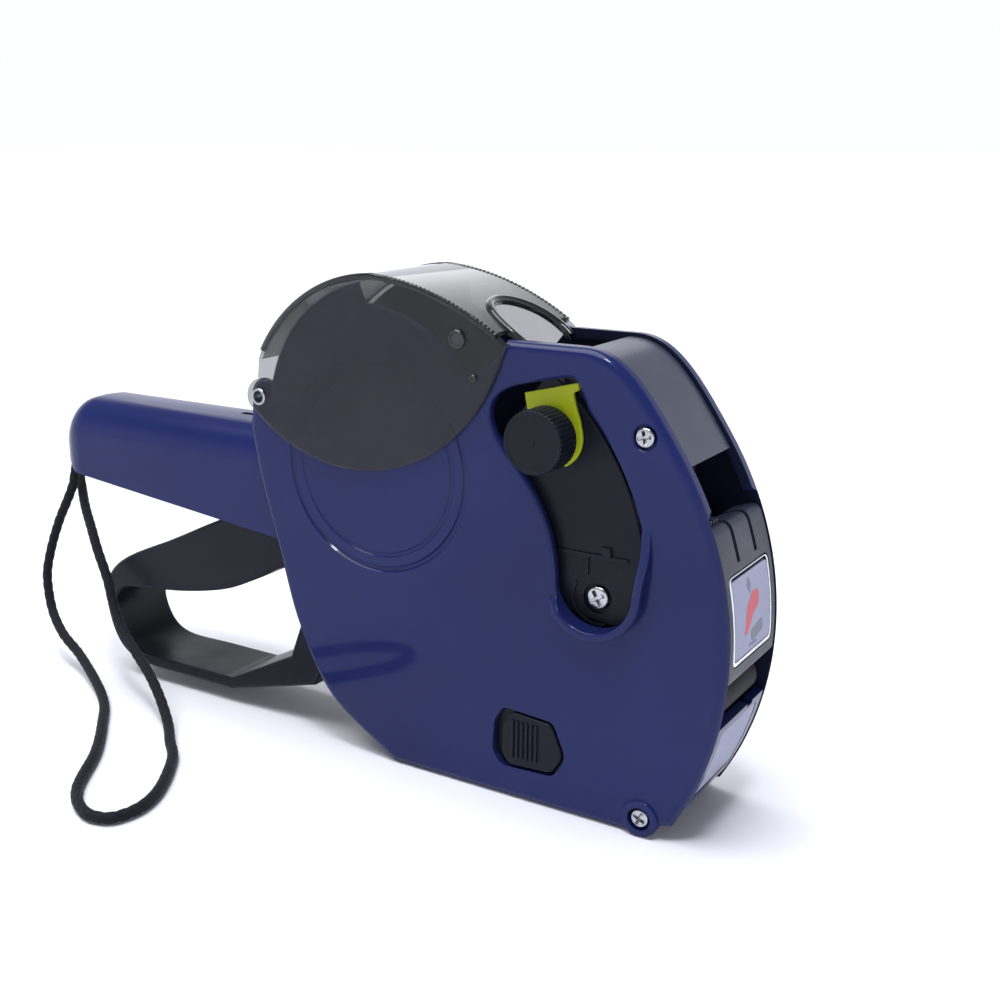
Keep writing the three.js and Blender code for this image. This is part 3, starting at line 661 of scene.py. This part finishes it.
# ---- side panels ----
LATCH_OPENING = [(-5.1, 12.4), (-2.4, 8.9), (13.2, 9.6), (16.2, 14.6), (16.2, 17), (12.9, 24.6),
                 (-1.9, 25.6), (-4.6, 21.2)]
PANEL_BACK = FACE - WALL
EDGE_ROUND = 2.6
LIP = 2.6
LIP_BACK = 13.4
REAR_LIP_BACK = 13.0
GUARD_TOP = 80.5
GUARD_HEIGHT = 3.4
TOP_RUN = (arc(NOSE, NOSE_RADIUS, -31, 33, NOSE_STEPS)
           + bezier(polar(NOSE, NOSE_RADIUS, 33), (34.8, 113.6), (28, BODY_TOP), (18, BODY_TOP), 14)[1:]
           + [(18 - 1.5 * k, BODY_TOP) for k in range(1, 15)])


def panel_outline(side):
    """The knob side has its step under the roof further back than the other side."""
    front, rear = (-48, 86), (-41, 96.3)
    if side < 0:
        step = arc(front, 43.3, 41, 87.5, 26) + arc(rear, 39, 100.8, 165, 18)
    else:
        step = (arc(front, 43.3, 41, 70, 20) + arc(COVER_FRONT, 79.4, 79.5, 86, 3)
                + arc(rear, 38.6, 97, 165, 18))
    return unique(
        arc(BOSS, 5, -90, -20, 12)
        + TOP_RUN
        + smooth([(-3, BODY_TOP), (-6, 118.5), (-10, 115.2), (-14.7, 113.7)], 3)[1:]
        + step
        + arc(COVER_HINGE, 5, 60, 200, 18)
        + smooth([(-87.2, 91), (-84.1, 76.4), (-78.2, 56), (-71.8, 34.8), (-60.5, 15), (-38, 0)], 10))


def lip_depth(point):
    """How far in the panel's edge reaches: deeper at the top of the nose and at the lower rear."""
    x, z = point
    if x > -3.1 and z > 85.4:
        return LIP_BACK
    if x < -36 and z < 54:
        return REAR_LIP_BACK
    return PANEL_BACK


def window_outline():
    """The crescent through which the print arm and the knob show."""
    return unique(
        smooth([(17.3, 114.6), (18.5, 112.3), polar(ARM_PIVOT, WINDOW_OUTER, 42)], 4)[:-1]
        + arc(ARM_PIVOT, WINDOW_OUTER, 42, 14, 24)
        + [(WINDOW_FOOT[0] + WINDOW_FOOT_RADIUS, WINDOW_FOOT[1] + 2)]
        + arc(WINDOW_FOOT, WINDOW_FOOT_RADIUS, 0, -172, 30)
        + arc(ARM_PIVOT, WINDOW_INNER, 1.5, 49, 24)
        + smooth([polar(ARM_PIVOT, WINDOW_INNER, 49), (-5.2, 98.9), (-6.7, 103.2), (-5.7, 108),
                  (-2.1, 110.9), (3.1, 112.6), (13.8, 115), (16.1, 115.3)], 6)[1:]
    )[::-1]


def roundel(side):
    """Plain concentric steps pressed into the panel's face, as (points, y) rows."""
    steps = [(29.4, 0), (29.0, 0.55), (28.1, 0.6), (27.7, 0.12), (25.2, 0.12), (24.9, 0.4), (24.1, 0.42),
             (23.8, 0.12)]
    return [(circle(ROUNDEL, radius, 96), side * (FACE - depth)) for radius, depth in steps]


def window_guard():
    """The raised rim round the foot of the window, with a ramp at each end."""
    rim = (smooth([(35.9, GUARD_TOP), (36.2, 74), (35.4, 67)], 4)[:-1]
           + arc(WINDOW_FOOT, WINDOW_FOOT_RADIUS, 0, -158, 30))
    band = unique(strip(rim, 2.3, 0))[::-1]
    wall = plate("window_guard", band, edge(-FACE + WALL / 2, -FACE - GUARD_HEIGHT, 0.9))
    for vert in wall.data.vertices:
        x, y, z = vert.co / MM
        if y < -FACE:
            turn = math.degrees(math.atan2(z - WINDOW_FOOT[1], x - WINDOW_FOOT[0]))
            rise = min((GUARD_TOP - z) / 13, 1)
            if turn < -120:
                rise = min(rise, max((turn + 163) / 25, 0.1))
            vert.co.y = (-FACE + (y + FACE) * max(rise, 0.02)) * MM
    return wall


def panel_rows(bm, side):
    """The panel's edge: rounded all round, with a lip turned in where lip_depth is deeper than the wall."""
    outline = panel_outline(side)
    lips = [lip_depth(point) for point in outline]
    flat_inset = EDGE_ROUND - math.sqrt(EDGE_ROUND ** 2 - (EDGE_ROUND - WALL) ** 2)
    quarter = [math.pi / 2 * i / 7 for i in range(8)]
    section = [(LIP, PANEL_BACK), (LIP, None), (0, None)]
    section += [(EDGE_ROUND * (1 - math.cos(a)), FACE - EDGE_ROUND * (1 - math.sin(a))) for a in quarter]
    rows = []
    for inset, depth in section:
        lipped = offset(outline, inset)
        plain = offset(outline, max(inset, flat_inset) if depth and inset != LIP else flat_inset)
        if depth == FACE:
            plain = lipped
        points, depths = [], []
        for i, lip in enumerate(lips):
            flat = lip == PANEL_BACK
            points.append(plain[i] if flat else lipped[i])
            here = lip if depth is None else depth
            depths.append(side * max(here, PANEL_BACK if flat else 0))
        rows.append(add_loop(bm, points, depths))
    return rows


def side_panel(name, side):
    """A panel with its openings and roundel, then the boss, the screw wells and the guard."""
    bm = bmesh.new()
    rows = panel_rows(bm, side)
    skin(bm, rows)
    backs, faces = [rows[0]], [rows[-1]]
    openings = [
        (rounded(LATCH_OPENING, 1.4), [(0, PANEL_BACK), (0, FACE - 0.4), (0.12, FACE - 0.12), (0.4, FACE)]),
        (circle(COVER_HINGE, 2.05, 32), [(0, PANEL_BACK), (0, FACE)]),
    ]
    if side < 0:
        openings.append((window_outline(), edge(PANEL_BACK, FACE, 1.1)))
    for points, profile in openings:
        loops = [add_loop(bm, offset(points, -inset), side * depth) for inset, depth in profile]
        skin(bm, loops)
        backs.append(loops[0])
        faces.append(loops[-1])
    rings = [add_loop(bm, *row) for row in roundel(side)]
    skin(bm, rings)
    faces.append(rings[0])
    fill(bm, [rings[-1]])
    fill(bm, backs)
    fill(bm, faces)
    panel = to_object(name, bm)
    foot, top = PANEL_BACK + 0.02, FACE + 0.9
    fuse(panel, turned("boss", BOSS, on_side(side, [
        (0, foot), (4.98, foot), (4.98, top - 0.7), (4.75, top - 0.2), (4.3, top), (0, top)]), 64))
    nose_well = turned("well", TIE, on_side(side, [
        (0, FACE - 4), (1.7, FACE - 4), (1.7, FACE - 1.3), (3.0, FACE - 1.3), (3.0, FACE - 0.4),
        (4.0, FACE + 0.6), (0, FACE + 0.6)]))
    carve(panel, rod("well", BOSS, 3.1, side * (FACE - 1.2), side * 25), nose_well,
          rod("bore", BOSS, 1.7, side * 10, side * 25, 24))
    if side < 0:
        fuse(panel, window_guard())
    return panel


for side_name, side in SIDES:
    panel = side_panel(f"{side_name}_panel_shell", side)
    place(panel, "housing", "navy_plastic", f"{side_name}_side_panel")
    # The faces turned inwards get the darker navy, which paints the shade inside the body.
    panel.data.materials.append(NAVY_PAINTED_SHADE)
    for face in panel.data.polygons:
        if face.normal.y * side < -0.9:
            face.material_index = 1


# ---- screws: domed heads with a cross recess ----
def cross_outline(centre, reach, half, turn):
    corners = []
    for quarter in range(4):
        corners += tilted([(reach, -half), (reach, half), (half, half)], (0, 0), 90 * quarter)
    return tilted(corners, centre, turn)


def cross_screw(name, centre, side, seat, radius, top, turn):
    """A shank up to seat, a domed head up to top, and a slot that narrows as it goes in."""
    head = on_side(side, [
        (0, seat - 5), (1.1, seat - 5), (1.1, seat), (radius - 0.15, seat), (radius, seat + 0.2),
        (radius, top - 0.6), (radius * 0.95, top - 0.3), (radius * 0.87, top - 0.1), (radius * 0.78, top),
        (0, top)])
    bm = bmesh.new()
    rows = [add_loop(bm, cross_outline(centre, radius * reach, radius * half, turn), side * (top + rise))
            for reach, half, rise in ((0.78, 0.2, 1), (0.7, 0.17, -0.3), (0.24, 0.1, -1.3))]
    skin(bm, rows)
    fill(bm, [rows[0]])
    fill(bm, [rows[-1]])
    return carve(turned(name, centre, head, 48), to_object("slot", bm))


ARM_SCREW = polar(ARM_PIVOT, 53, -2.4)
SCREWS = (
    ("nose_screw", TIE, 16.9, 2.5, 18.2, 12, "housing", "front_screw"),
    ("foot_screw", BOSS, 17.1, 2.55, 18.5, 65, "housing", "boss_screw"),
    ("head_screw", ARM_SCREW, 13.5, 3.1, 14.85, 30, "print_arm", "arm_screw"),
)
for side_name, side in SIDES:
    for name, centre, seat, radius, top, turn, body, node_name in SCREWS:
        screw = cross_screw(f"{side_name}_{name}", centre, side, seat, radius, top, turn)
        place(screw, body, "chrome", f"{side_name}_{node_name}")


# ---- smoked roll cover ----
ROOF = arc(COVER_FRONT, 81.9, 56.5, 85.5, 26) + arc(COVER_REAR, 45.1, 92, 153.5, 40)
COVER_SIDE = unique([(-0.9, 121.4)] + ROOF + arc(COVER_HINGE, 5, 100, 215, 18)
                    + arc(COVER_SKIRT, 50, 229, 345, 60))
NOTCH_CENTRE = -3.6


def roll_cover():
    """A thin see-through shell: a solid with its inside, the finger notch and the hinge bore cut out."""
    roof_inner = [point for point in run_inset(ROOF, 1.2) if point[0] < -5.2]
    inner = ([(8, 60), (8, 140), (-5.2, 140), (-5.2, roof_inner[0][1])] + roof_inner
             + [(-98, roof_inner[-1][1]), (-98, 60)])
    cover = plate("roll_cover_shell", COVER_SIDE, edge(-COVER_OUTER, COVER_OUTER, 1.3, 1.3, 6))
    carve(cover, plate("inside", unique(inner), [(0, -COVER_OUTER + 1), (0, COVER_OUTER - 1)]))
    turns = [2 * math.pi * i / 48 for i in range(48)]
    notch = [(12 * math.cos(a) + NOTCH_CENTRE, 11.6 * math.sin(a)) for a in turns]
    return carve(cover, prism_up("notch", notch, 105, 150),
                 rod("hinge_bore", COVER_HINGE, 2.05, -30, 30, 32))


def roof_height(x):
    """Height of the middle of the roof's wall at x, over its front stretch."""
    return COVER_FRONT[1] + math.sqrt(81.3 ** 2 - (x - COVER_FRONT[0]) ** 2)


def notch_lip():
    """The rolled edge round the finger notch."""
    turns = [math.radians(a) for a in range(72, 289, 4)]
    line = [(12.4 * math.cos(a) + NOTCH_CENTRE, 12.0 * math.sin(a)) for a in turns]
    path = [(x, y, roof_height(x) + 0.5) for x, y in line]
    return tube("cover_notch_lip", path, 1.25, 14)


def cover_rim(name, side):
    """The moulded bead along the roof's side edge, finely serrated over its front stretch."""
    front = arc(COVER_FRONT, 81.3, 56.9, 85.5, 200)
    path = [(x, side * (COVER_OUTER - 0.65), z) for x, z in front + arc(COVER_REAR, 44.5, 93, 150, 60)]

    def serrations(distance, angle):
        return 1 + 0.14 * math.sin(2 * math.pi * distance / 1.3) if distance < 36 else 1

    return tube(name, path, 0.9, 12, serrations)


def cover_stud(name, centre, radius, side):
    """A round boss with a dished end, moulded on the cover's side."""
    foot, rim = COVER_OUTER - 0.2, COVER_OUTER + 0.7
    return turned(name, centre, on_side(side, [
        (0, foot), (radius, foot), (radius, rim - 0.25), (radius - 0.25, rim), (radius - 0.6, rim),
        (radius - 0.8, rim - 0.3), (0, rim - 0.35)]), 40)


place(roll_cover(), "roll_cover", "smoked_plastic", "roll_cover")
place(notch_lip(), "roll_cover", "smoked_plastic", look=SMOKED_EDGE)
place(cover_stud("cover_stud", (-15.8, 122.4), 2.4, -1), "roll_cover", "black_plastic", look=PEG_BLACK)
place(cover_stud("cover_dot", (-10.9, 112.9), 1.0, -1), "roll_cover", "black_plastic", look=PEG_BLACK)

SLEEVE = [(1.6, 12), (1.95, 12), (1.95, 19.45), (2.3, 19.45), (2.4, 19.6), (2.3, 19.75), (1.95, 19.85),
          (1.7, 19.75), (1.6, 19.5)]
for side_name, side in SIDES:
    place(cover_rim(f"{side_name}_cover_rim", side), "roll_cover", "smoked_plastic", look=SMOKED_EDGE)
    rivet = turned(f"{side_name}_tube_rivet", COVER_HINGE, on_side(side, SLEEVE), 40)
    place(rivet, "housing", "steel", f"{side_name}_cover_rivet")


# ---- handle ----
HANDLE_END = -173.4
HANDLE_FRONT = -76.0
HANDLE_TOP = 90.4
HANDLE_TAIL = 9.4
HANDLE_SLOT = [(-105, 87), (-95, 87), (-95, 95), (-105, 95)]


def quarter_drop(into, radius):
    """How far a rounded end lies inside its corner, into past the tip."""
    return radius - math.sqrt(radius ** 2 - (radius - into) ** 2) if into < radius else 0


def handle_section(x):
    """An upturned channel at x as (y, z) points, from one bottom edge over the crown to the other."""
    into = x - HANDLE_END
    top = HANDLE_TOP - quarter_drop(into, 12)
    half = FIT - quarter_drop(into, 13)
    if into < HANDLE_TAIL:
        bottom = 75.5 - 8.2 * into / HANDLE_TAIL
    else:
        bottom = 67.3 - 8.8 * (into - HANDLE_TAIL) / 88
    turn = min(11.5, half - 0.6, top - bottom - 0.4)
    flank = [(half, bottom + (top - turn - bottom) * i / 4) for i in range(4)]
    corner = arc((half - turn, top - turn), turn, 0, 90, 9)
    crown = [((half - turn) * 0.5, top + 0.1)]
    right = flank + corner + crown
    return [(-y, z) for y, z in right] + [(0.0, top + 0.14)] + right[::-1]


def handle():
    """An open shell over the handle's sections, given its wall inwards, with a slot through its top."""
    bm = bmesh.new()
    spots = [HANDLE_END + 12.9 * (1 - math.cos(math.pi / 2 * i / 16)) for i in range(17)]
    spots += [spots[-1] + (HANDLE_FRONT - spots[-1]) * i / 14 for i in range(1, 15)]
    rows = [[bm.verts.new((x * MM, y * MM, z * MM)) for y, z in handle_section(x)] for x in spots]
    skin(bm, rows, closed=False)
    bm.faces.new(rows[0])
    bmesh.ops.recalc_face_normals(bm, faces=bm.faces)
    if sum(face.normal.z for face in bm.faces) < 0:
        bmesh.ops.reverse_faces(bm, faces=bm.faces)
    shell = add_object("handle_shell", bm)
    thick = shell.modifiers.new("wall", "SOLIDIFY")
    thick.thickness = 2.2 * MM
    thick.offset = -1
    thick.use_even_offset = True
    apply_modifiers(shell)
    return carve(shell, plate("slot", rounded(HANDLE_SLOT, 0.4), [(0, -1.2), (0, 1.2)]))


place(handle(), "housing", "navy_plastic", "handle_grip")
place(rod("strap_pin_rod", STRAP_PIN, 1.5, -9.6, 9.6, 24), "housing", "steel", "strap_pin")


# ---- squeeze lever ----
DRIVE_PIN = polar(LEVER_PIVOT, LEVER_ARM, LEVER_ARM_ANGLE)


def lever():
    """The finger loop below the handle, with the short arm that drives the print arms."""
    outer = (smooth([(-104, 4.6), (-124, 4.6), (-143, 5), (-150.5, 8), (-155, 14), (-157.6, 24),
                     (-156, 32.4), (-150, 38.7), (-126, 50), (-102, 61), (-90, 64.6), (-80, 65.4),
                     (-70, 60)], 6)
             + arc(LEVER_PIVOT, 9, 100, -60, 20) + [(-71, 13.4)])[::-1]
    hole = smooth([(-104, 8.4), (-124, 8.4), (-143, 8.6), (-148.5, 11), (-152.2, 16.4), (-153.2, 23),
                   (-149.5, 29.2), (-141, 30.9), (-121, 33.6), (-104, 37.6), (-91, 43.4), (-80, 48.6),
                   (-75, 46), (-74, 38), (-79.5, 21)], 6)[::-1]
    body = plate("lever_loop", unique(outer), edge(-LEVER_HALF, LEVER_HALF, 1.5, 1.5), [unique(hole)],
                 edge(-LEVER_HALF, LEVER_HALF, 1.1, 1.1))
    arm = (arc(LEVER_PIVOT, 5, LEVER_ARM_ANGLE + 90, LEVER_ARM_ANGLE + 270, 16)
           + arc(DRIVE_PIN, 3.4, LEVER_ARM_ANGLE - 90, LEVER_ARM_ANGLE + 90, 16))
    fuse(body, plate("drive_arm", unique(arm), edge(-4, 4, 0.6, 0.6)))
    return carve(body, rod("bore", LEVER_PIVOT, 2.8, -20, 20, 32), rod("bore", DRIVE_PIN, 1.9, -20, 20, 24))


place(lever(), "trigger", "black_plastic", "trigger_lever")


# ---- selector knob and pointer ----
KNOB = polar(ARM_PIVOT, KNOB_ORBIT, KNOB_REST_ANGLE)


def knurl(index, radius):
    """Narrow grooves down the knob's flank."""
    return 0.968 if radius > 7.9 and index % 4 == 0 else 1.0


KNOB_PROFILE = [(0, -14.7), (4.6, -14.7), (4.6, -17.5), (7.5, -17.5), (7.8, -17.7), (8.1, -18.2),
                (8.1, -25.2), (8.0, -25.7), (7.75, -25.95), (7.45, -26.0), (7.2, -25.85), (7.0, -25.7),
                (0.75, -25.7), (0.6, -25.95), (0.25, -26.0), (0, -25.9)]
knob = turned("selector_knob_cap", KNOB, KNOB_PROFILE, 176, knurl)
place(knob, "selector_knob", "black_plastic", "selector_knob", look=KNOB_BLACK)

POINTER = (arc(KNOB, 8.3, -62, 18, 18) + [(17.3, 104.4), (16.2, 107.6), (15.3, 111.2), (16.9, 112.1),
                                          (16.6, 113.9), (1.7, 110), (2.5, 106)]
           + arc(KNOB, 7.4, 132, 285, 22))
pointer = plate("band_pointer", unique(POINTER), edge(-POINTER_BACK, -POINTER_FACE, 0.3, 0.1, 3),
                [circle(KNOB, 5)], [(0, -POINTER_BACK), (0, -POINTER_FACE)])
place(pointer, "selector", "indicator_yellow", "band_indicator")


# ---- print arms ----
def print_arm(name, side):
    """A fan-shaped plate with the lever's track, a sunk seat for its screw and raised ribs."""
    fan = unique(arc(ARM_PIVOT, 66, -9, 55, 40) + arc(ARM_PIVOT, 5.4, 55, 351, 30))
    pin = math.degrees(math.atan2(DRIVE_PIN[1] - ARM_PIVOT[1], DRIVE_PIN[0] - ARM_PIVOT[0]))
    track = (arc(polar(ARM_PIVOT, 20.4, pin), 2, pin - 90, pin + 90, 12)
             + arc(polar(ARM_PIVOT, 17.4, pin), 2, pin + 90, pin + 270, 12))
    back, face = side * ARM_BACK, side * ARM_FACE
    arm = plate(name, fan, edge(back, face, 0.5),
                [circle(ARM_PIVOT, 2.8, 32), circle(KNOB, 3.4, 32), circle(ARM_SCREW, 4)],
                [(0, back), (0, face)])
    carve(arm, plate("track", unique(track), [(0, side * 11), (0, side * 15)]))
    seat = on_side(side, [(1.5, ARM_BACK), (4.3, ARM_BACK), (4.3, 13.5), (1.5, 13.5)])
    ribs = [box("rib", x, ordered(side * 14.2, side * top), z) for x, top, z in (
        ((9, 31), 14.9, (70.4, 71.2)),
        ((19.6, 20.3), 14.8, (65.6, 70.6)),
        ((24, 26.4), 15.1, (71.0, 73.4)))]
    bow = strip(arc(ARM_SCREW, 7.2, 150, 290, 16), 0, 0.7)
    ribs.append(plate("rib", unique(bow), [(0, side * 14.2), (0, side * 14.8)]))
    return fuse(arm, turned("seat", ARM_SCREW, seat), *ribs)


for side_name, side in SIDES:
    place(print_arm(f"{side_name}_arm_plate", side), "print_arm", "black_plastic", f"{side_name}_print_arm")


# ---- digit window, front cover, chin and their labels ----
def across_nose(name, outline, half, rounding):
    return plate(name, unique(outline), edge(-half, half, rounding, rounding, 3))


def nose_shell(name, half, low, high, inner, outer, rounding=0.0):
    """A stretch of the nose's curve between two angles and two radii."""
    section = arc(NOSE, outer, low, high, 24) + arc(NOSE, inner, high, low, 24)
    return across_nose(name, section, half, rounding)


def nose_label(name, half, low, high, inner, outer, corner):
    """A round-cornered plate curved to the nose."""
    bottom, top = polar(NOSE, outer, low)[1], polar(NOSE, outer, high)[1]
    plan = rounded([(half, bottom), (half, top), (-half, top), (-half, bottom)], corner, 6)
    shell = nose_shell(name, half + 1, low - 2, high + 2, inner, outer)
    return combine(shell, prism_along("plan", plan, 30, 75), "INTERSECT")


WINDOW_REAR = 16.6
WINDOW_RUN = arc(NOSE, NOSE_RADIUS, 31.5, 33, 2) + TOP_RUN[NOSE_STEPS + 1:]
WINDOW_RUN = [point for point in WINDOW_RUN if point[0] > WINDOW_REAR] + [(WINDOW_REAR, BODY_TOP)]
digit_window = across_nose("digit_window_shell", strip(WINDOW_RUN, 0.9, 2.4), 13.1, 0.4)
place(digit_window, "housing", "grey_window", "digit_window")

LABEL_SHELL = (SKIN - 0.5, SKIN - 0.1)
SEAT_SHELL = (SKIN - 0.8, SKIN + 1)


def front_cover():
    """A curved plate on a hinge barrel, with a seat for the badge, two slots and a row of short ribs."""
    hinge = polar(NOSE, SKIN - 1.9, -3)
    crown = [polar(NOSE, SKIN - inset, angle) for inset, angle in
             ((0.1, 20.5), (0.5, 21.1), (1.2, 21.5), (2.4, 21.7), (6.5, 21.8), (6.5, 20.4), (2.6, 20.2))]
    section = arc(NOSE, SKIN, -3, 20, 30) + crown + arc(NOSE, SKIN - 2.2, 19.6, -3, 30)
    shell = across_nose("front_cover_shell", section, FIT, 0.6)
    fuse(shell, turned("barrel", hinge, [
        (0, -FIT), (1.5, -FIT), (1.9, -FIT + 0.4), (1.9, FIT - 0.4), (1.5, FIT), (0, FIT)], 32))
    slots = [box("slot", (30, 75), y, (72.6, 90)) for y in ((-6.2, -4.4), (5.2, 7.0))]
    carve(shell, rod("bore", hinge, 1.1, -20, 20, 24),
          nose_label("seat", 13.2, -1.4, 13.4, *SEAT_SHELL, 2.3), *slots)
    ribs = [box("rib", (46.5, 50.6), (-15.2 + 1.7 * k, -14.3 + 1.7 * k), (80.2, 83.4)) for k in range(5)]
    return fuse(shell, *ribs)


place(front_cover(), "front_cover", "dark_grey_plastic", "front_cover")
frame_ring = carve(nose_label("badge_border", 12.9, -1.2, 13.2, *LABEL_SHELL, 2.0),
                   nose_label("hole", 12.0, -0.6, 12.6, SKIN - 3, SKIN + 3, 1.4))
place(frame_ring, "front_cover", "foil", "badge_frame")
badge_card = nose_label("badge_card", 11.7, -0.4, 12.4, *LABEL_SHELL, 1.2)
place(badge_card, "front_cover", "white_label", "badge_label")


def picture(name, corners, rounding, centre, turn, look):
    """A printed shape just over the badge's card: its corners are (y, z) points about its centre."""
    outline = tilted(rounded(corners, rounding, 3), centre, turn)
    shell = nose_shell(name, 12, -2, 14, SKIN - 0.12, SKIN - 0.04)
    shape = combine(shell, prism_along("plan", outline, 30, 75), "INTERSECT")
    place(shape, "front_cover", "white_label", look=look)


def oblong(wide, high):
    return [(-wide, -high), (wide, -high), (wide, high), (-wide, high)]


BLADE = [(4.4, 0.6), (4.6, 4.2), (0.6, 4.6), (-3.4, 1.6), (-5.6, -5.4), (-2.9, -4.6), (0.2, -1)]
LEAF = [(0, -2.2), (1.5, 0.2), (0, 2.6), (-1.5, 0.2)]
picture("badge_blade", BLADE, 1.2, (-0.2, 59.4), 0, PICTURE_RED)
picture("badge_leaf", LEAF, 0.8, (-1.4, 65.8), 8, PICTURE_GREY)
picture("badge_block", oblong(3.8, 1.6), 0.8, (2.6, 53.6), 9, PICTURE_GREY)
picture("badge_line", oblong(2.6, 0.3), 0.2, (0, 50.9), 0, PICTURE_GREY)


def chin():
    shell = nose_shell("chin_shell", FIT, -28.2, -11.4, SKIN - 2.4, SKIN, 0.5)
    return carve(shell, nose_label("seat", 11.8, -25.7, -12.6, *SEAT_SHELL, 1.3),
                 box("notch", (40, 70), (4, 7.5), (31.4, 40)))


place(chin(), "housing", "navy_plastic", "front_chin")
chin_card = nose_label("chin_card", 11.5, -25.5, -12.8, *LABEL_SHELL, 1.0)
place(chin_card, "housing", "white_label", "chin_label")


# ---- latch buttons ----
def latch(name, side):
    """A ribbed button on a wider back plate, with a tail that reaches down to the bottom door."""
    button = rounded([(-2.2, 12.6), (0, 9.8), (12.7, 10.4), (15.7, 15), (15.7, 16.8), (12.5, 24.1),
                      (0.6, 24.9), (-1.7, 20.8)], 1.3)
    piece = plate(name, button, edge(side * 15.6, side * 18.3, 0.6))
    ribs = [plate("rib", rounded([(x, 12.2), (x + 0.8, 12.2), (x + 0.8, 23), (x, 23)], 0.38, 3),
                  edge(side * 18.1, side * 18.85, 0.2, 0.0, 3)) for x in (0.9, 2.3, 3.7, 5.1, 6.5, 7.9)]
    back = [box("back", (-6.4, 16.4), ordered(side * 14.95, side * 15.7), (8, 25.4)),
            box("back", (1, 4.5), ordered(side * 14.9, side * 15.7), (3.8, 8.1)),
            box("back", (1, 7.1), ordered(side * 12.2, side * 15.7), (3.8, 5))]
    return fuse(piece, *ribs, *back)


for side_name, side in SIDES:
    key = latch(f"{side_name}_latch_key", side)
    place(key, f"{side_name}_latch", "black_plastic", f"{side_name}_latch_button")


# ---- return spring ----
def spring():
    """A round-wire coil that stands upright."""
    low, high, radius, wire, turns = 30.0, 55.8, 3.4, 0.5, 7
    steps = turns * 32
    path = []
    for i in range(steps + 1):
        turn = 2 * math.pi * turns * i / steps
        path.append((-33 + radius * math.cos(turn), radius * math.sin(turn),
                     low + wire + (high - low - 2 * wire) * i / steps))
    return tube("return_spring_coil", path, wire, 10)


coil = place(spring(), "housing", "steel", "return_spring")
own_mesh(coil)


# ---- floor and soft studio light ----
def make_stage():
    nodes = Nodes("floor_paper")
    inputs = nodes.shader.inputs
    cloud = nodes.range(nodes.noise(6, 3), 0, 1)
    nodes.link(nodes.mix(cloud, (0.8, 0.8, 0.83, 1), (0.84, 0.84, 0.87, 1)), inputs["Base Color"])
    inputs["Roughness"].default_value = 0.7
    inputs["Specular IOR Level"].default_value = 0.1
    bpy.ops.mesh.primitive_plane_add(size=40)
    floor = bpy.context.object
    floor.name = "floor"
    floor.data.materials.append(nodes.material)
    bpy.context.scene.view_settings.view_transform = "Standard"


def make_sky():
    """A pale surround, bright at the horizon and dimmer above it."""
    world = bpy.data.worlds.new("studio")
    world.use_nodes = True
    tree = world.node_tree
    background = tree.nodes["Background"]
    background.inputs["Color"].default_value = (0.9, 0.92, 1.0, 1)
    place_on = tree.nodes.new("ShaderNodeTexCoord")
    split = tree.nodes.new("ShaderNodeSeparateXYZ")
    fade = tree.nodes.new("ShaderNodeMapRange")
    for key, number in (("From Min", 0.22), ("From Max", 0.6), ("To Min", 1.1), ("To Max", 0.22)):
        fade.inputs[key].default_value = number
    tree.links.new(place_on.outputs["Generated"], split.inputs["Vector"])
    tree.links.new(split.outputs["Z"], fade.inputs["Value"])
    tree.links.new(fade.outputs["Result"], background.inputs["Strength"])
    bpy.context.scene.world = world


def add_lamp(name, kind, position, target, power):
    """A lamp at position that shines towards target, both in metres."""
    data = bpy.data.lights.new(name, kind)
    data.energy = power
    lamp = bpy.data.objects.new(name, data)
    lamp.location = position
    lamp.rotation_euler = (Vector(target) - Vector(position)).to_track_quat("-Z", "Y").to_euler()
    bpy.context.scene.collection.objects.link(lamp)
    return data


def overhead_light(name, position, spread, power, colour):
    """A large soft source, far enough off to light the whole floor evenly."""
    data = add_lamp(name, "SUN", position, (0, 0, 0), power)
    data.angle = math.radians(spread)
    data.color = colour


def softbox(name, position, size, power):
    """A soft panel of light that shows in the gloss of the roof and the top edges."""
    data = add_lamp(name, "AREA", position, (0, 0, 0.06), power)
    data.shape = "RECTANGLE"
    data.size, data.size_y = size


make_stage()
make_sky()
overhead_light("overhead", (-0.25, -0.1, 1.0), 50, 3.2, (0.95, 0.96, 1.0))
overhead_light("ceiling_lamp", (0.15, -0.25, 1.0), 9, 1.0, (0.92, 0.94, 1.0))
softbox("back_panel", (-0.6, 1.0, 0.85), (1.1, 0.8), 1.8)


# ---- the CAD nodes that stay ----
SLOT_OF = {part["node"]: part["material_slot"] for part in frame["record"]["subparts"]}
for node_name, node in frame["nodes"].items():
    node.data.materials.clear()
    node.data.materials.append(LOOKS[SLOT_OF[node_name]])
